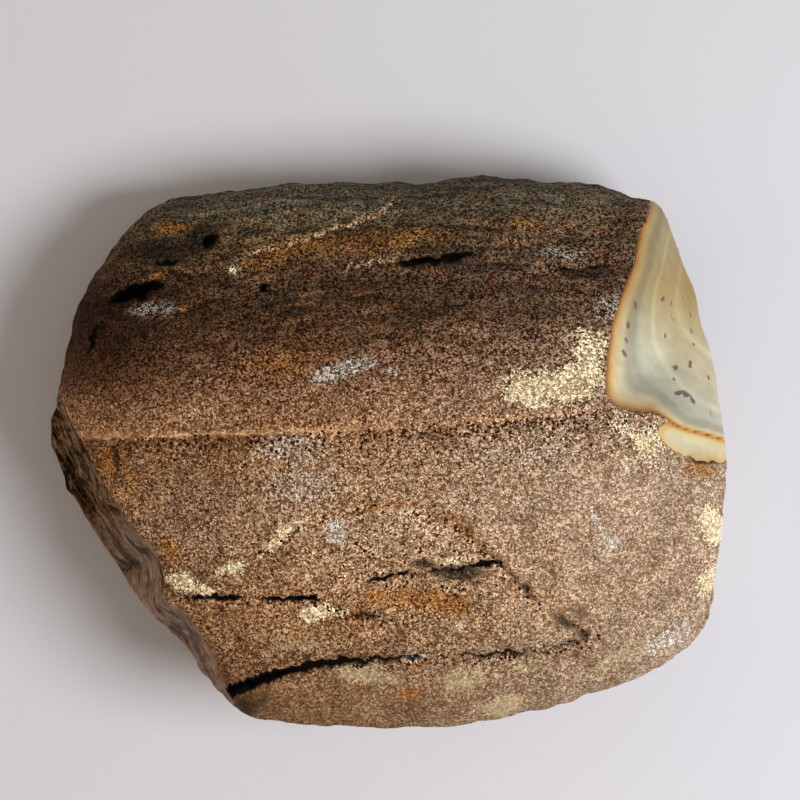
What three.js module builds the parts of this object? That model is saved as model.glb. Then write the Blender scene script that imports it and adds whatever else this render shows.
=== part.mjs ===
// A ribbon stone: one broken piece of banded silica rock in a brown, sandy rind.
// The upper side has a long crest with a low step beside it, a gentle south face, a falling
// north face, split bedding layers, a spalled lens, two pits and a smooth chip at the east end.
// Millimetres, +Z up, +X east along the stone, +Y north; it rests on a small flat spot at z = 0.
import * as THREE from "three";
import { mergeVertices } from "three/addons/utils/BufferGeometryUtils.js";

// Size of the mesh: an icosahedron split this many times, with its points drawn towards the top.
const SPLITS = 21;
const TOP_CROWDING = 0.58;
const OUTLINE_STEPS = 240;
const TURN_STEPS = 72;
const PLACE_STEPS = 90;
const CURVE_STEPS = 5;
const SAME_POINT = 1e-5;
const NOT_ZERO = 1e-6;

// The widest outline, seen from above, clockwise from the chip's tip.
const OUTLINE = [
  [47.9, 41.3], [49.7, 33.3], [52.3, 26], [54.6, 13.3], [55.6, 2.8], [56.6, -5.2], [56, -14.3],
  [53.2, -26], [49.8, -32.2], [44.6, -35.2], [37.9, -38.4], [28.1, -41.8], [15, -44.2],
  [1.7, -45.3], [-11.7, -45.2], [-21, -44.3], [-26.8, -41], [-34.6, -33.1], [-41.6, -25.1],
  [-49.3, -14.3], [-54.7, -5.8], [-57.1, 3.1], [-56.6, 9.8], [-54.6, 20], [-50.6, 30.2],
  [-45, 38.5], [-41.4, 42.6], [-34.3, 45], [-24, 45.8], [-7.7, 45.7], [10.2, 46.4],
  [25.5, 46.2], [34, 45.4], [42.5, 43.2],
];

// The crest that runs east to west across the top.
const CREST = { height: 43.5, atX: 8, sag: 0.0034, y: 4.2, lean: 0.055, bow: 0.0006 };
const NORTH_FACE = { slope: 0.1, fall: 0.0108 };
const SOUTH_FACE = { slope: 0.09, fall: 0.0011 };
const SOUTH_STRIP = { fromY: -36.5, drop: 4.5, slope: 0.42, soft: 2.5 };
const WEST_SHOULDER = { fromX: -38, fall: 0.02 };

// How far the rim rounds off: more in the north, where the faces turn over further.
const RIM = { from: 0.9, power: 2.5, south: 2.6, north: 6, turnsFrom: -10, turnsTo: 30 };

// The sides below the outline and the small flat spot that the stone rests on.
const SIDES = { flatShare: 0.4, wall: 0.82, floor: 0.95 };

// The smooth chip at the east end, the small scoop under it and the broken west flank.
const CHIP = {
  edge: [
    [58, 1.6], [52.5, 3.2], [48.3, 4.3], [44.2, 6.5], [41.7, 6.8], [37.5, 7.8], [35.7, 9.8],
    [35.5, 13.2], [36.2, 18.2], [37, 22.3], [38.7, 27.3], [40.3, 31], [41, 34], [41.7, 37],
    [43.3, 40.2], [44.5, 46],
  ],
  slope: 1.5, hollow: 0.02, soft: 0.8,
};
const LOW_SCOOP = { x: 51, y: 2.2, long: 7.5, wide: 3.1, turn: -14, depth: 1.7 };
const FLANK = {
  edge: [
    [-58.5, 14], [-55.5, 9], [-51.9, 2.5], [-48.9, -2.8], [-45.6, -8], [-42.2, -13.2],
    [-39.4, -15.4], [-37.6, -19], [-37.3, -23.8], [-34.2, -26], [-31.3, -29.6], [-29.4, -33.8],
    [-27.9, -37.4], [-24.5, -43],
  ],
  slope: 3.2, soft: 1.2, foot: 12, footSoft: 4,
};

// Bedding layers that split: each has a steep lip on the left of its path and a ramp on the right.
const LIP = 1.6;
const LEDGES = [
  { name: "crest step", ramp: 5, depths: [0.9, 0.7, 0.25],
    path: [[-51.5, 2.4], [-30, 3.2], [-15, 3.7], [5, 4.6], [22, 6], [36, 7.6]] },
  { name: "west crack", ramp: 3.2, depths: [1.3, 2.4, 2],
    path: [[-35, -23.9], [-30.6, -23.7], [-24.2, -23.7], [-18.8, -23.8], [-12.7, -23.5]] },
  { name: "west crack tail", ramp: 2, depths: [1.6, 1, 0.4],
    path: [[-12.7, -23.9], [-9, -25], [-5, -26], [-1, -26.6]] },
  { name: "south crack", ramp: 4.2, depths: [6.5, 2, 1, 0.8, 0.5],
    path: [[-27, -39.1], [-23.7, -37.4], [-19, -35.9], [-15, -34.9], [-11, -34.2], [-5, -33.6],
      [1.7, -33.3], [8.3, -33.1], [15, -32.7], [21.7, -32.3], [28.3, -31.3], [33.3, -29.8]] },
  { name: "lens crack", ramp: 2.8, depths: [0.8, 1.8, 1.2, 1.7, 0.8],
    path: [[-4.4, -21.1], [-1.7, -20.2], [2.8, -19.2], [5.3, -18.8], [9.6, -18.8], [13.8, -18.1],
      [18.3, -17.5]] },
  { name: "spalled lens", ramp: 9, depths: [0.2, 0.7, 0.8, 0.9, 0.5],
    path: [[-20.8, -15.2], [-16.7, -12.2], [-10, -9.7], [-3.3, -8.2], [2.5, -8], [6.7, -9.8],
      [11.7, -11.8], [17.5, -17], [21.7, -21], [25, -24.3], [30.3, -27.3], [33.3, -30]] },
  { name: "north plate", ramp: 7, depths: [0.4, 1, 1.1, 0.6],
    path: [[-25, 32], [-21.3, 34], [-16.7, 34.7], [-13, 36.3], [-9.2, 37.7], [-3.3, 39.3],
      [1.3, 42.7]] },
  { name: "north slot", ramp: 2.6, depths: [0.6, 3.2, 2.6, 0.4],
    path: [[0.8, 31.9], [5, 32.4], [7.5, 32.6], [10.8, 33], [14.2, 33.8]] },
  { name: "terrace lip", ramp: 3, depths: [0.3, 1, 0.8, 0.3],
    path: [[-8, 31], [-3, 31.6], [1, 32.2]] },
  { name: "north-east crack", ramp: 2.8, depths: [0.3, 1.4, 0.9, 0.5],
    path: [[22.5, 29.6], [28.3, 31], [31.7, 30.8], [35, 31.5], [41, 32.3]] },
  { name: "west rim crack", ramp: 2, depths: [0.4, 1.2, 0.4],
    path: [[-51.8, 15.5], [-50.6, 18], [-49.6, 20.4], [-48.6, 22.4]] },
];

// Pits, hollows and low swellings of the upper side; a negative depth is a swelling.
const HOLLOWS = [
  { name: "north-west pit", x: -42.4, y: 27.4, long: 4.8, wide: 2, turn: 16, depth: 5 },
  { name: "corner hole", x: -30.3, y: 35.9, long: 1.9, wide: 1.6, turn: 30, depth: 2.6 },
  { name: "corner hollow", x: -37.5, y: 35, long: 7.6, wide: 3.1, turn: -6, depth: 2.2 },
  { name: "corner shelf", x: -37.5, y: 32.2, long: 4.5, wide: 0.8, turn: 8, depth: 1 },
  { name: "north valley", x: -8, y: 27, long: 42, wide: 6.5, turn: 3, depth: 1.5 },
  { name: "terrace", x: 4, y: 36, long: 17, wide: 5, turn: 8, depth: -2 },
  { name: "orange hollow", x: 5.5, y: -24.5, long: 6.5, wide: 2, turn: -8, depth: 0.6 },
  { name: "south face swell", x: 28, y: -14, long: 22, wide: 14, turn: -35, depth: -1.3 },
  { name: "west dish", x: -34, y: -9, long: 14, wide: 8, turn: -30, depth: 0.8 },
  { name: "upper scoop", x: -41.8, y: -19.4, long: 4.6, wide: 1.7, turn: -58, depth: 3 },
  { name: "lower scoop", x: -33.4, y: -31.2, long: 5.6, wide: 1.6, turn: -52, depth: 2.6 },
];

// Flat breaks that trim the sides: the way each faces, and how far it lies from the middle.
const BREAKS = [
  { name: "east break", turn: -6, tilt: -12, reach: 51.6 },
  { name: "south-east break", turn: -58, tilt: -20, reach: 46.4 },
  { name: "south break", turn: -88, tilt: -14, reach: 42.2 },
  { name: "south-west foot", turn: -128, tilt: -34, reach: 43.5 },
  { name: "west foot", turn: 172, tilt: -38, reach: 49.5 },
  { name: "north-west break", turn: 128, tilt: -24, reach: 53.8 },
  { name: "north break", turn: 93, tilt: -30, reach: 41.8 },
  { name: "north-east foot", turn: 38, tilt: -26, reach: 55.7 },
];
const BREAK_BASE = 16;

// Low swells that keep the faces from being truly flat: wavelength and height of each. They are
// this many times higher on the sides, which broke more roughly than the faces weathered, and
// they die out above the flat spot. They push out from a point at this height in the middle.
const SIDE_SWELL = { times: 2.2, placeFrom: 1.1, placeTo: 1.5 };
const SWELL_STARTS = { fromZ: 0.5, toZ: 8 };
const SWELL_MIDDLE_Z = 12;
const SWELLS = [
  { wave: 31, height: 0.5, shift: 0.4 },
  { wave: 17, height: 0.3, shift: 2.1 },
  { wave: 9.5, height: 0.13, shift: 4.4 },
];

const radians = THREE.MathUtils.degToRad;

/** A smooth curve through the points, as a list of [x, y]. */
function smoothPath(points, closed = false, steps = points.length * CURVE_STEPS) {
  const knots = points.map(([x, y]) => new THREE.Vector3(x, y, 0));
  const curve = new THREE.CatmullRomCurve3(knots, closed, "catmullrom", 0.5);
  return curve.getPoints(steps).map((p) => [p.x, p.y]);
}

/** The outline's radius at each of OUTLINE_STEPS equal turns, counted from +X. */
function outlineRadii() {
  const loop = smoothPath(OUTLINE, true, OUTLINE.length * CURVE_STEPS * 2);
  const radii = [];
  for (let i = 0; i < OUTLINE_STEPS; i++) {
    const turn = (2 * Math.PI * i) / OUTLINE_STEPS;
    radii.push(loopRadius(loop, Math.cos(turn), Math.sin(turn)));
  }
  return radii;
}

/** How far a ray from the middle goes before it meets the loop. */
function loopRadius(loop, dirX, dirY) {
  for (let i = 1; i < loop.length; i++) {
    const [ax, ay] = loop[i - 1];
    const [bx, by] = loop[i];
    const sideA = dirX * ay - dirY * ax;
    const sideB = dirX * by - dirY * bx;
    if (sideA * sideB > 0 || sideA === sideB) continue;
    const share = sideA / (sideA - sideB);
    const reach = dirX * (ax + share * (bx - ax)) + dirY * (ay + share * (by - ay));
    if (reach > 0) return reach;
  }
  throw new Error("the outline doesn't go round the middle");
}

const RADII = outlineRadii();

/** The outline's radius at any turn, in radians. */
function outlineAt(turn) {
  const place = ((turn / (2 * Math.PI)) * OUTLINE_STEPS + OUTLINE_STEPS) % OUTLINE_STEPS;
  const before = Math.floor(place) % OUTLINE_STEPS;
  return THREE.MathUtils.lerp(RADII[before], RADII[(before + 1) % OUTLINE_STEPS], place % 1);
}

/** Where (x, y) lies beside a path: how far to its right, how far off, and its share along. */
function besidePath(path, x, y) {
  let best = { off: Infinity, right: 0, along: 0 };
  for (let i = 1; i < path.length; i++) {
    const [ax, ay] = path[i - 1];
    const dx = path[i][0] - ax;
    const dy = path[i][1] - ay;
    const share = THREE.MathUtils.clamp(
      ((x - ax) * dx + (y - ay) * dy) / (dx * dx + dy * dy), 0, 1);
    const off = Math.hypot(x - ax - share * dx, y - ay - share * dy);
    if (off < best.off) {
      const right = (x - ax) * dy - (y - ay) * dx > 0 ? off : -off;
      best = { off, right, along: (i - 1 + share) / (path.length - 1) };
    }
  }
  return best;
}

/**
 * How far (x, y) lies to the right of a path, with no crease where two stretches are as near.
 * Each stretch counts by the inverse cube of its distance, which is exact beside a straight line.
 */
function smoothlyRight(path, x, y) {
  let pull = 0;
  for (let i = 1; i < path.length; i++) {
    const [ax, ay] = path[i - 1];
    const length = Math.hypot(path[i][0] - ax, path[i][1] - ay);
    const stepX = (path[i][0] - ax) / length;
    const stepY = (path[i][1] - ay) / length;
    const first = (ax - x) * stepX + (ay - y) * stepY;
    const last = first + length;
    const off = Math.max(((x - ax) * stepY - (y - ay) * stepX) ** 2, NOT_ZERO);
    pull += (last / Math.sqrt(off + last * last) - first / Math.sqrt(off + first * first)) / off;
  }
  return Math.sign(besidePath(path, x, y).right) * Math.sqrt(2 / pull);
}

/** A value read from a short list that is spread evenly over a path. */
function readAlong(values, along) {
  const place = along * (values.length - 1);
  const before = Math.min(Math.floor(place), values.length - 2);
  return THREE.MathUtils.lerp(values[before], values[before + 1], place - before);
}

const ledgePaths = LEDGES.map((ledge) => smoothPath(ledge.path));
const chipPath = smoothPath(CHIP.edge);
const flankPath = smoothPath(FLANK.edge);

/** How far a split layer lowers the surface: steep at its lip, easing out along its ramp. */
function ledgeDepth(ledge, path, x, y) {
  const { off, right, along } = besidePath(path, x, y);
  if (off > ledge.ramp) return 0;
  const depth = readAlong(ledge.depths, along);
  const pastEnds = along <= 0 || along >= 1;
  const fade = right < 0 || pastEnds ? Math.max(0, 1 - off / LIP) : 1 - right / ledge.ramp;
  return depth * fade * fade;
}

/** How far an oval hollow lowers the surface. */
function hollowDepth({ x: cx, y: cy, long, wide, turn, depth }, x, y) {
  const a = radians(turn);
  const u = ((x - cx) * Math.cos(a) + (y - cy) * Math.sin(a)) / long;
  const v = ((y - cy) * Math.cos(a) - (x - cx) * Math.sin(a)) / wide;
  const inside = Math.max(0, 1 - (u * u + v * v) / 2);
  return depth * inside * inside;
}

/** The lower of two heights, with the crease between them rounded over a width. */
function softMin(a, b, width) {
  const h = Math.max(width - Math.abs(a - b), 0) / width;
  return Math.min(a, b) - (h * h * width) / 4;
}

/** A ramp that starts at an edge, with the edge rounded over a width. */
function softRamp(past, width) {
  return (past + Math.hypot(past, width)) / 2;
}

/** Height of the upper side at (x, y), before layers split off it. */
function faceHeight(x, y) {
  const turn = Math.atan2(y, x);
  const share = Math.hypot(x, y) / outlineAt(turn);
  const crest = CREST.height - CREST.sag * (x - CREST.atX) ** 2;
  const beyond = y - (CREST.y + CREST.lean * x + CREST.bow * x * x);
  let z = crest - (beyond > 0
    ? NORTH_FACE.fall * beyond * beyond + NORTH_FACE.slope * beyond
    : SOUTH_FACE.fall * beyond * beyond - SOUTH_FACE.slope * beyond);
  const strip = crest - SOUTH_STRIP.drop + SOUTH_STRIP.slope * (y - SOUTH_STRIP.fromY);
  z = softMin(z, strip, SOUTH_STRIP.soft);
  z -= WEST_SHOULDER.fall * Math.max(0, WEST_SHOULDER.fromX - x) ** 2;
  const northness = THREE.MathUtils.smoothstep(y - 0.5 * x, RIM.turnsFrom, RIM.turnsTo);
  const rim = Math.max(0, (share - RIM.from) / (1 - RIM.from));
  return z - THREE.MathUtils.lerp(RIM.south, RIM.north, northness) * rim ** RIM.power;
}

/** How far the chip and the broken flank cut below the faces; the flank stops at its foot. */
function breakDepth(x, y) {
  const inChip = softRamp(smoothlyRight(chipPath, x, y), CHIP.soft);
  const overFlank = softRamp(besidePath(flankPath, x, y).right, FLANK.soft);
  const room = faceHeight(x, y) - FLANK.foot;
  const flank = softMin(FLANK.slope * overFlank, room, FLANK.footSoft);
  return CHIP.slope * inChip - CHIP.hollow * inChip * inChip + Math.max(0, flank);
}

/** Height of the finished upper side at (x, y). */
function topHeight(x, y) {
  let z = faceHeight(x, y) - breakDepth(x, y) - hollowDepth(LOW_SCOOP, x, y);
  LEDGES.forEach((ledge, i) => {
    z -= ledgeDepth(ledge, ledgePaths[i], x, y);
  });
  for (const hollow of HOLLOWS) z -= hollowDepth(hollow, x, y);
  return z;
}

/** A low, smooth swell of the surface at a point. */
function swellAt(x, y, z) {
  let sum = 0;
  for (const { wave, height, shift } of SWELLS) {
    const k = (2 * Math.PI) / wave;
    sum += height * Math.sin(k * x + shift + Math.sin(k * 0.7 * z + shift))
      * Math.cos(k * 0.9 * y + 1.7 * shift + Math.sin(k * 0.6 * x));
  }
  return sum;
}

/**
 * A point of the stone's skin at a turn about +Z. Place runs from 0 to 1 over the upper side,
 * from 1 to 2 down the side to the flat spot, and from 2 to 3 across the flat spot.
 */
function skinPoint(turn, place, height) {
  const radius = outlineAt(turn);
  const out = new THREE.Vector3(Math.cos(turn), Math.sin(turn), 0);
  if (place <= 1) {
    out.multiplyScalar(place * radius);
    out.z = height(out.x, out.y);
    return out;
  }
  if (place >= 2) return out.multiplyScalar((3 - place) * radius * SIDES.flatShare);
  const swing = ((place - 1) * Math.PI) / 2;
  const rim = height(out.x * radius, out.y * radius);
  const inward = SIDES.flatShare + (1 - SIDES.flatShare) * Math.cos(swing) ** SIDES.wall;
  out.multiplyScalar(radius * inward);
  out.z = rim * (1 - Math.sin(swing) ** SIDES.floor);
  return out;
}

/** Trims a point of the sides to the flat breaks. */
function trimSides(point) {
  for (const { turn, tilt, reach } of BREAKS) {
    const level = Math.cos(radians(tilt));
    const facing = new THREE.Vector3(
      level * Math.cos(radians(turn)), level * Math.sin(radians(turn)), Math.sin(radians(tilt)));
    const from = point.clone().setZ(point.z - BREAK_BASE);
    const over = facing.dot(from) - reach;
    if (over > 0) point.addScaledVector(facing, -over);
  }
  return point;
}

/** Lengths along the skin from the top to each place, at one turn. */
function lengthsAt(turn) {
  const lengths = [0];
  let last = skinPoint(turn, 0, faceHeight);
  for (let i = 1; i <= PLACE_STEPS; i++) {
    const next = skinPoint(turn, (3 * i) / PLACE_STEPS, (x, y) => faceHeight(x, y) - breakDepth(x, y));
    lengths.push(lengths[i - 1] + last.distanceTo(next));
    last = next;
  }
  return lengths;
}

/** The place at a share of the skin's length, so that the mesh is spread evenly over it. */
function placeAtShare(lengths, share) {
  const wanted = share * lengths[PLACE_STEPS];
  let i = 1;
  while (i < PLACE_STEPS && lengths[i] < wanted) i++;
  const step = (wanted - lengths[i - 1]) / (lengths[i] - lengths[i - 1]);
  return (3 * (i - 1 + step)) / PLACE_STEPS;
}

/** The same at any turn, read between the turns that were measured. */
function placeAt(rows, turn, share) {
  const row = ((turn / (2 * Math.PI)) * TURN_STEPS + TURN_STEPS) % TURN_STEPS;
  const before = Math.floor(row) % TURN_STEPS;
  const after = (before + 1) % TURN_STEPS;
  return THREE.MathUtils.lerp(
    placeAtShare(rows[before], share), placeAtShare(rows[after], share), row % 1);
}

/** The stone's closed mesh. */
function stoneGeometry() {
  let geometry = new THREE.IcosahedronGeometry(1, SPLITS);
  geometry.deleteAttribute("normal");
  geometry.deleteAttribute("uv");
  geometry = mergeVertices(geometry, SAME_POINT);
  const spots = geometry.getAttribute("position");
  const rows = Array.from({ length: TURN_STEPS }, (_, i) => lengthsAt((2 * Math.PI * i) / TURN_STEPS));
  const way = new THREE.Vector3();
  for (let i = 0; i < spots.count; i++) {
    way.fromBufferAttribute(spots, i).normalize();
    const turn = Math.atan2(way.y, way.x);
    const fall = Math.acos(THREE.MathUtils.clamp(way.z, -1, 1));
    const share = (2 / Math.PI) * Math.atan(TOP_CROWDING * Math.tan(fall / 2));
    const place = placeAt(rows, turn, share);
    const point = skinPoint(turn, place, topHeight);
    if (place < 2) {
      const outward = new THREE.Vector3(point.x / 3, point.y / 3, point.z - SWELL_MIDDLE_Z);
      const { fromZ, toZ } = SWELL_STARTS;
      const { times, placeFrom, placeTo } = SIDE_SWELL;
      const settled = THREE.MathUtils.smoothstep(point.z, fromZ, toZ);
      const roughness = 1 + (times - 1) * THREE.MathUtils.smoothstep(place, placeFrom, placeTo);
      const swell = settled * roughness * swellAt(point.x, point.y, point.z);
      point.addScaledVector(outward.normalize(), swell);
      trimSides(point);
      point.z = Math.max(point.z, 0);
    }
    spots.setXYZ(i, point.x, point.y, point.z);
  }
  geometry.computeBoundingBox();
  const box = geometry.boundingBox;
  geometry.translate(-(box.min.x + box.max.x) / 2, -(box.min.y + box.max.y) / 2, 0);
  geometry.computeVertexNormals();
  return geometry;
}

const rind = new THREE.MeshStandardMaterial({ color: 0x9f7d5f, roughness: 0.92, metalness: 0 });
const stone = new THREE.Mesh(stoneGeometry(), rind);
stone.name = "stone";

const ribbonStone = new THREE.Group();
ribbonStone.add(stone);

export default ribbonStone;
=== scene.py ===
"""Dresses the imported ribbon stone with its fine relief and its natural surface.

The stone is one broken piece of banded silica rock. Most of it wears a sandy, iron-stained rind;
a smooth chip at the east end shows the pale bands inside, and the west flank is an older,
veined break. Lengths are millimetres until a mesh is handed to Blender, which takes metres.
East is +X, north is +Y, and the stone rests on z = 0.
"""

from __future__ import annotations

import logging
import math
from dataclasses import dataclass, field
from enum import Enum
from typing import Callable, Sequence

import bmesh
import bpy
import numpy as np
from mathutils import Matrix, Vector, noise

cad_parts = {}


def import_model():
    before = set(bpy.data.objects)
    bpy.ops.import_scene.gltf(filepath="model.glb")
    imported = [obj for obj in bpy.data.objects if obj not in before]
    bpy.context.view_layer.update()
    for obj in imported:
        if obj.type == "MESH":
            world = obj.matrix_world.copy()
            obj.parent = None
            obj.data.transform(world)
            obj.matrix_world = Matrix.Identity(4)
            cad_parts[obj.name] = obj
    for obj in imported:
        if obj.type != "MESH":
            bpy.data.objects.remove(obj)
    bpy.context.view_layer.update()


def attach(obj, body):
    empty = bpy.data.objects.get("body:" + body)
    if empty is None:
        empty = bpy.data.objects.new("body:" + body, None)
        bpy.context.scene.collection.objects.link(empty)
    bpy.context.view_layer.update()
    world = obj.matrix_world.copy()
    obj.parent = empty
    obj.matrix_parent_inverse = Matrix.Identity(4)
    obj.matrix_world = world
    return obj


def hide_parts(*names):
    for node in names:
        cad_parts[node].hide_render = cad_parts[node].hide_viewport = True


LOG = logging.getLogger("ribbon stone")
MM = 0.001

Point = tuple[float, float]
Span = tuple[float, float]
Tint = tuple[float, float, float]
Colour = tuple[float, float, float, float]
Height = Callable[[np.ndarray, np.ndarray], np.ndarray]


def linear(hex_colour: str) -> Colour:
    """Turns an sRGB hex colour into a linear one.

    Args:
        hex_colour: Six hex digits, such as "a98466".

    Returns:
        Red, green, blue and an alpha of 1.
    """
    parts = [int(hex_colour[i:i + 2], 16) / 255 for i in (0, 2, 4)]
    red, green, blue = (
        p / 12.92 if p <= 0.04045 else ((p + 0.055) / 1.055) ** 2.4 for p in parts
    )
    return red, green, blue, 1.0


def add_node(
    tree: bpy.types.NodeTree,
    kind: str,
    settings: dict[str, object] | None = None,
    inputs: dict[str | int, object] | None = None,
) -> bpy.types.Node:
    """Adds a node with its settings and what feeds it.

    Args:
        tree: The material's node tree.
        kind: The node's type, without the leading "ShaderNode".
        settings: The node's own properties by name.
        inputs: A value or an output socket for each input, by its name or number.

    Returns:
        The new node.
    """
    node = tree.nodes.new("ShaderNode" + kind)
    for name, value in (settings or {}).items():
        setattr(node, name, value)
    for name, value in (inputs or {}).items():
        if isinstance(value, bpy.types.NodeSocket):
            tree.links.new(value, node.inputs[name])
        else:
            node.inputs[name].default_value = value
    return node


def set_stops(ramp: bpy.types.ColorRamp, stops: Sequence[tuple[float, Colour]]) -> None:
    """Gives a colour ramp its stops, each a place from 0 to 1 and a linear colour."""
    while len(ramp.elements) < len(stops):
        ramp.elements.new(1.0)
    for element, (at, colour) in zip(ramp.elements, stops):
        element.position = at
        element.color = colour


def smoothstep(value: np.ndarray, low: float, high: float) -> np.ndarray:
    """Eases from 0 at low to 1 at high."""
    share = np.clip((value - low) / (high - low), 0, 1)
    return share * share * (3 - 2 * share)


def soft_min(a: np.ndarray, b: np.ndarray, width: float) -> np.ndarray:
    """The lower of two heights, with the crease between them rounded over a width."""
    overlap = np.maximum(width - np.abs(a - b), 0) / width
    return np.minimum(a, b) - overlap * overlap * width / 4


def soft_ramp(past: np.ndarray, width: float) -> np.ndarray:
    """A ramp that starts at an edge, with the edge rounded over a width."""
    return (past + np.hypot(past, width)) / 2


def lumps(
    points: np.ndarray,
    pitch: float,
    octaves: int = 3,
    seed: float = 0.0,
    stretch: tuple[float, float, float] = (1, 1, 1),
) -> np.ndarray:
    """Random lumps, from about -1 to 1.

    Args:
        points: Places in millimetres, one a row.
        pitch: Distance from lump to lump.
        octaves: How many finer sizes are added.
        seed: Moves the pattern, so that two of them differ.
        stretch: How many times longer the lumps are along each axis.

    Returns:
        One value a point.
    """
    scaled = points / (pitch * np.array(stretch)) + seed
    return np.array([noise.fractal(p, 1.0, 2.0, octaves) for p in scaled.tolist()])


@dataclass(frozen=True)
class Path:
    """A smooth line seen from above, through a few knots."""

    knots: tuple[Point, ...]
    closed: bool = False
    steps_per_knot: int = 5

    def line(self) -> np.ndarray:
        """The points of the smooth line, one a row."""
        knots = np.array(self.knots, float)
        if self.closed:
            padded = np.vstack([knots[-1:], knots, knots[:2]])
        else:
            padded = np.vstack([2 * knots[0] - knots[1], knots, 2 * knots[-1] - knots[-2]])
        spans = len(padded) - 3
        at = np.linspace(0, spans, len(knots) * self.steps_per_knot + 1)
        span = np.minimum(at.astype(int), spans - 1)
        t = (at - span)[:, None]
        before, start, end, after = (padded[span + i] for i in range(4))
        leave = (end - before) / 2
        arrive = (after - start) / 2
        bend = 3 * (end - start) - 2 * leave - arrive
        return start + leave * t + bend * t**2 + (2 * (start - end) + leave + arrive) * t**3

    def beside(self, x: np.ndarray, y: np.ndarray) -> tuple[np.ndarray, np.ndarray]:
        """Finds where points lie beside the line.

        Args:
            x: Eastings.
            y: Northings.

        Returns:
            How far right of the line each point is, and its share along the line.
        """
        line = self.line()
        nearest = np.full(x.shape, np.inf)
        right = np.zeros(x.shape)
        along = np.zeros(x.shape)
        for i, (start, end) in enumerate(zip(line[:-1], line[1:])):
            step = end - start
            east = x - start[0]
            north = y - start[1]
            share = np.clip((east * step[0] + north * step[1]) / step.dot(step), 0, 1)
            gap = np.hypot(east - share * step[0], north - share * step[1])
            closer = gap < nearest
            side = np.sign(east * step[1] - north * step[0])
            nearest = np.where(closer, gap, nearest)
            right = np.where(closer, side * gap, right)
            along = np.where(closer, (i + share) / (len(line) - 1), along)
        return right, along

    def smoothly_right(self, x: np.ndarray, y: np.ndarray) -> np.ndarray:
        """How far right of the line each point is, with no crease where two parts are as near.

        Each bit of the line counts by the inverse cube of its distance, which gives the true
        distance beside a straight line and eases round the inside of a corner.
        """
        line = self.line()
        pull = np.zeros(x.shape)
        for start, end in zip(line[:-1], line[1:]):
            step = (end - start) / np.linalg.norm(end - start)
            first = (start[0] - x) * step[0] + (start[1] - y) * step[1]
            last = (end[0] - x) * step[0] + (end[1] - y) * step[1]
            off = np.maximum(((x - start[0]) * step[1] - (y - start[1]) * step[0]) ** 2, 1e-6)
            pull += (last / np.sqrt(off + last**2) - first / np.sqrt(off + first**2)) / off
        return np.sign(self.beside(x, y)[0]) * np.sqrt(2 / pull)


@dataclass(frozen=True)
class Oval:
    """An oval patch seen from above, with half lengths and a turn in degrees."""

    x: float
    y: float
    long: float
    wide: float
    turn: float = 0.0
    amount: float = 1.0

    def inside(self, x: np.ndarray, y: np.ndarray) -> np.ndarray:
        """How far inside the oval each point is: 1 at its middle, easing to 0 beyond its rim."""
        turn = math.radians(self.turn)
        east = x - self.x
        north = y - self.y
        u = (east * math.cos(turn) + north * math.sin(turn)) / self.long
        v = (north * math.cos(turn) - east * math.sin(turn)) / self.wide
        return np.maximum(0, 1 - (u * u + v * v) / 2) ** 2


@dataclass(frozen=True)
class Ledge:
    """A split bedding layer: a sharp lip on the left of its path and a ramp on the right."""

    ramp: float
    depths: tuple[float, ...]
    path: Path
    # How dark the crack is painted at depth: painted shade, as if the crack lay in shadow.
    recess_shade: float = 0.0
    crumbly: float = 0.0
    # How pale the lip is painted: pale crumbs, with a painted highlight where the edge catches the
    # light.
    pale_lip_and_highlight: float = 0.0
    crumbs_from_lip: float = 0.8
    crumbs_spread: float = 1.5

    def depth(self, x: np.ndarray, y: np.ndarray, lip: float) -> np.ndarray:
        """How far the layer lowers the surface at each point."""
        right, along = self.path.beside(x, y)
        reach = np.interp(along, np.linspace(0, 1, len(self.depths)), self.depths)
        past_end = (along <= 0) | (along >= 1)
        outside = np.maximum(0, 1 - np.abs(right) / lip)
        ramp = np.maximum(0, 1 - right / self.ramp)
        return reach * np.where((right < 0) | past_end, outside, ramp) ** 2

    def crumbs(self, x: np.ndarray, y: np.ndarray) -> np.ndarray:
        """How crumbled the stone is along the lip."""
        right, _ = self.path.beside(x, y)
        off = (right - self.crumbs_from_lip) / self.crumbs_spread
        return self.crumbly * np.exp(-(off**2))


@dataclass(frozen=True)
class Hollow:
    """A pit, a hollow or, with a negative depth, a low swelling."""

    oval: Oval
    depth: float
    # How dark its depth is painted: painted shade, as if the pit lay in shadow.
    recess_shade: float = 0.0


@dataclass(frozen=True)
class Break:
    """A flat break that trims the sides: the way it faces and how far out it lies."""

    turn: float
    tilt: float
    reach: float
    pale: float = 0.0

    def facing(self) -> np.ndarray:
        """The direction that the break faces."""
        turn = math.radians(self.turn)
        tilt = math.radians(self.tilt)
        level = math.cos(tilt)
        return np.array([level * math.cos(turn), level * math.sin(turn), math.sin(tilt)])


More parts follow.
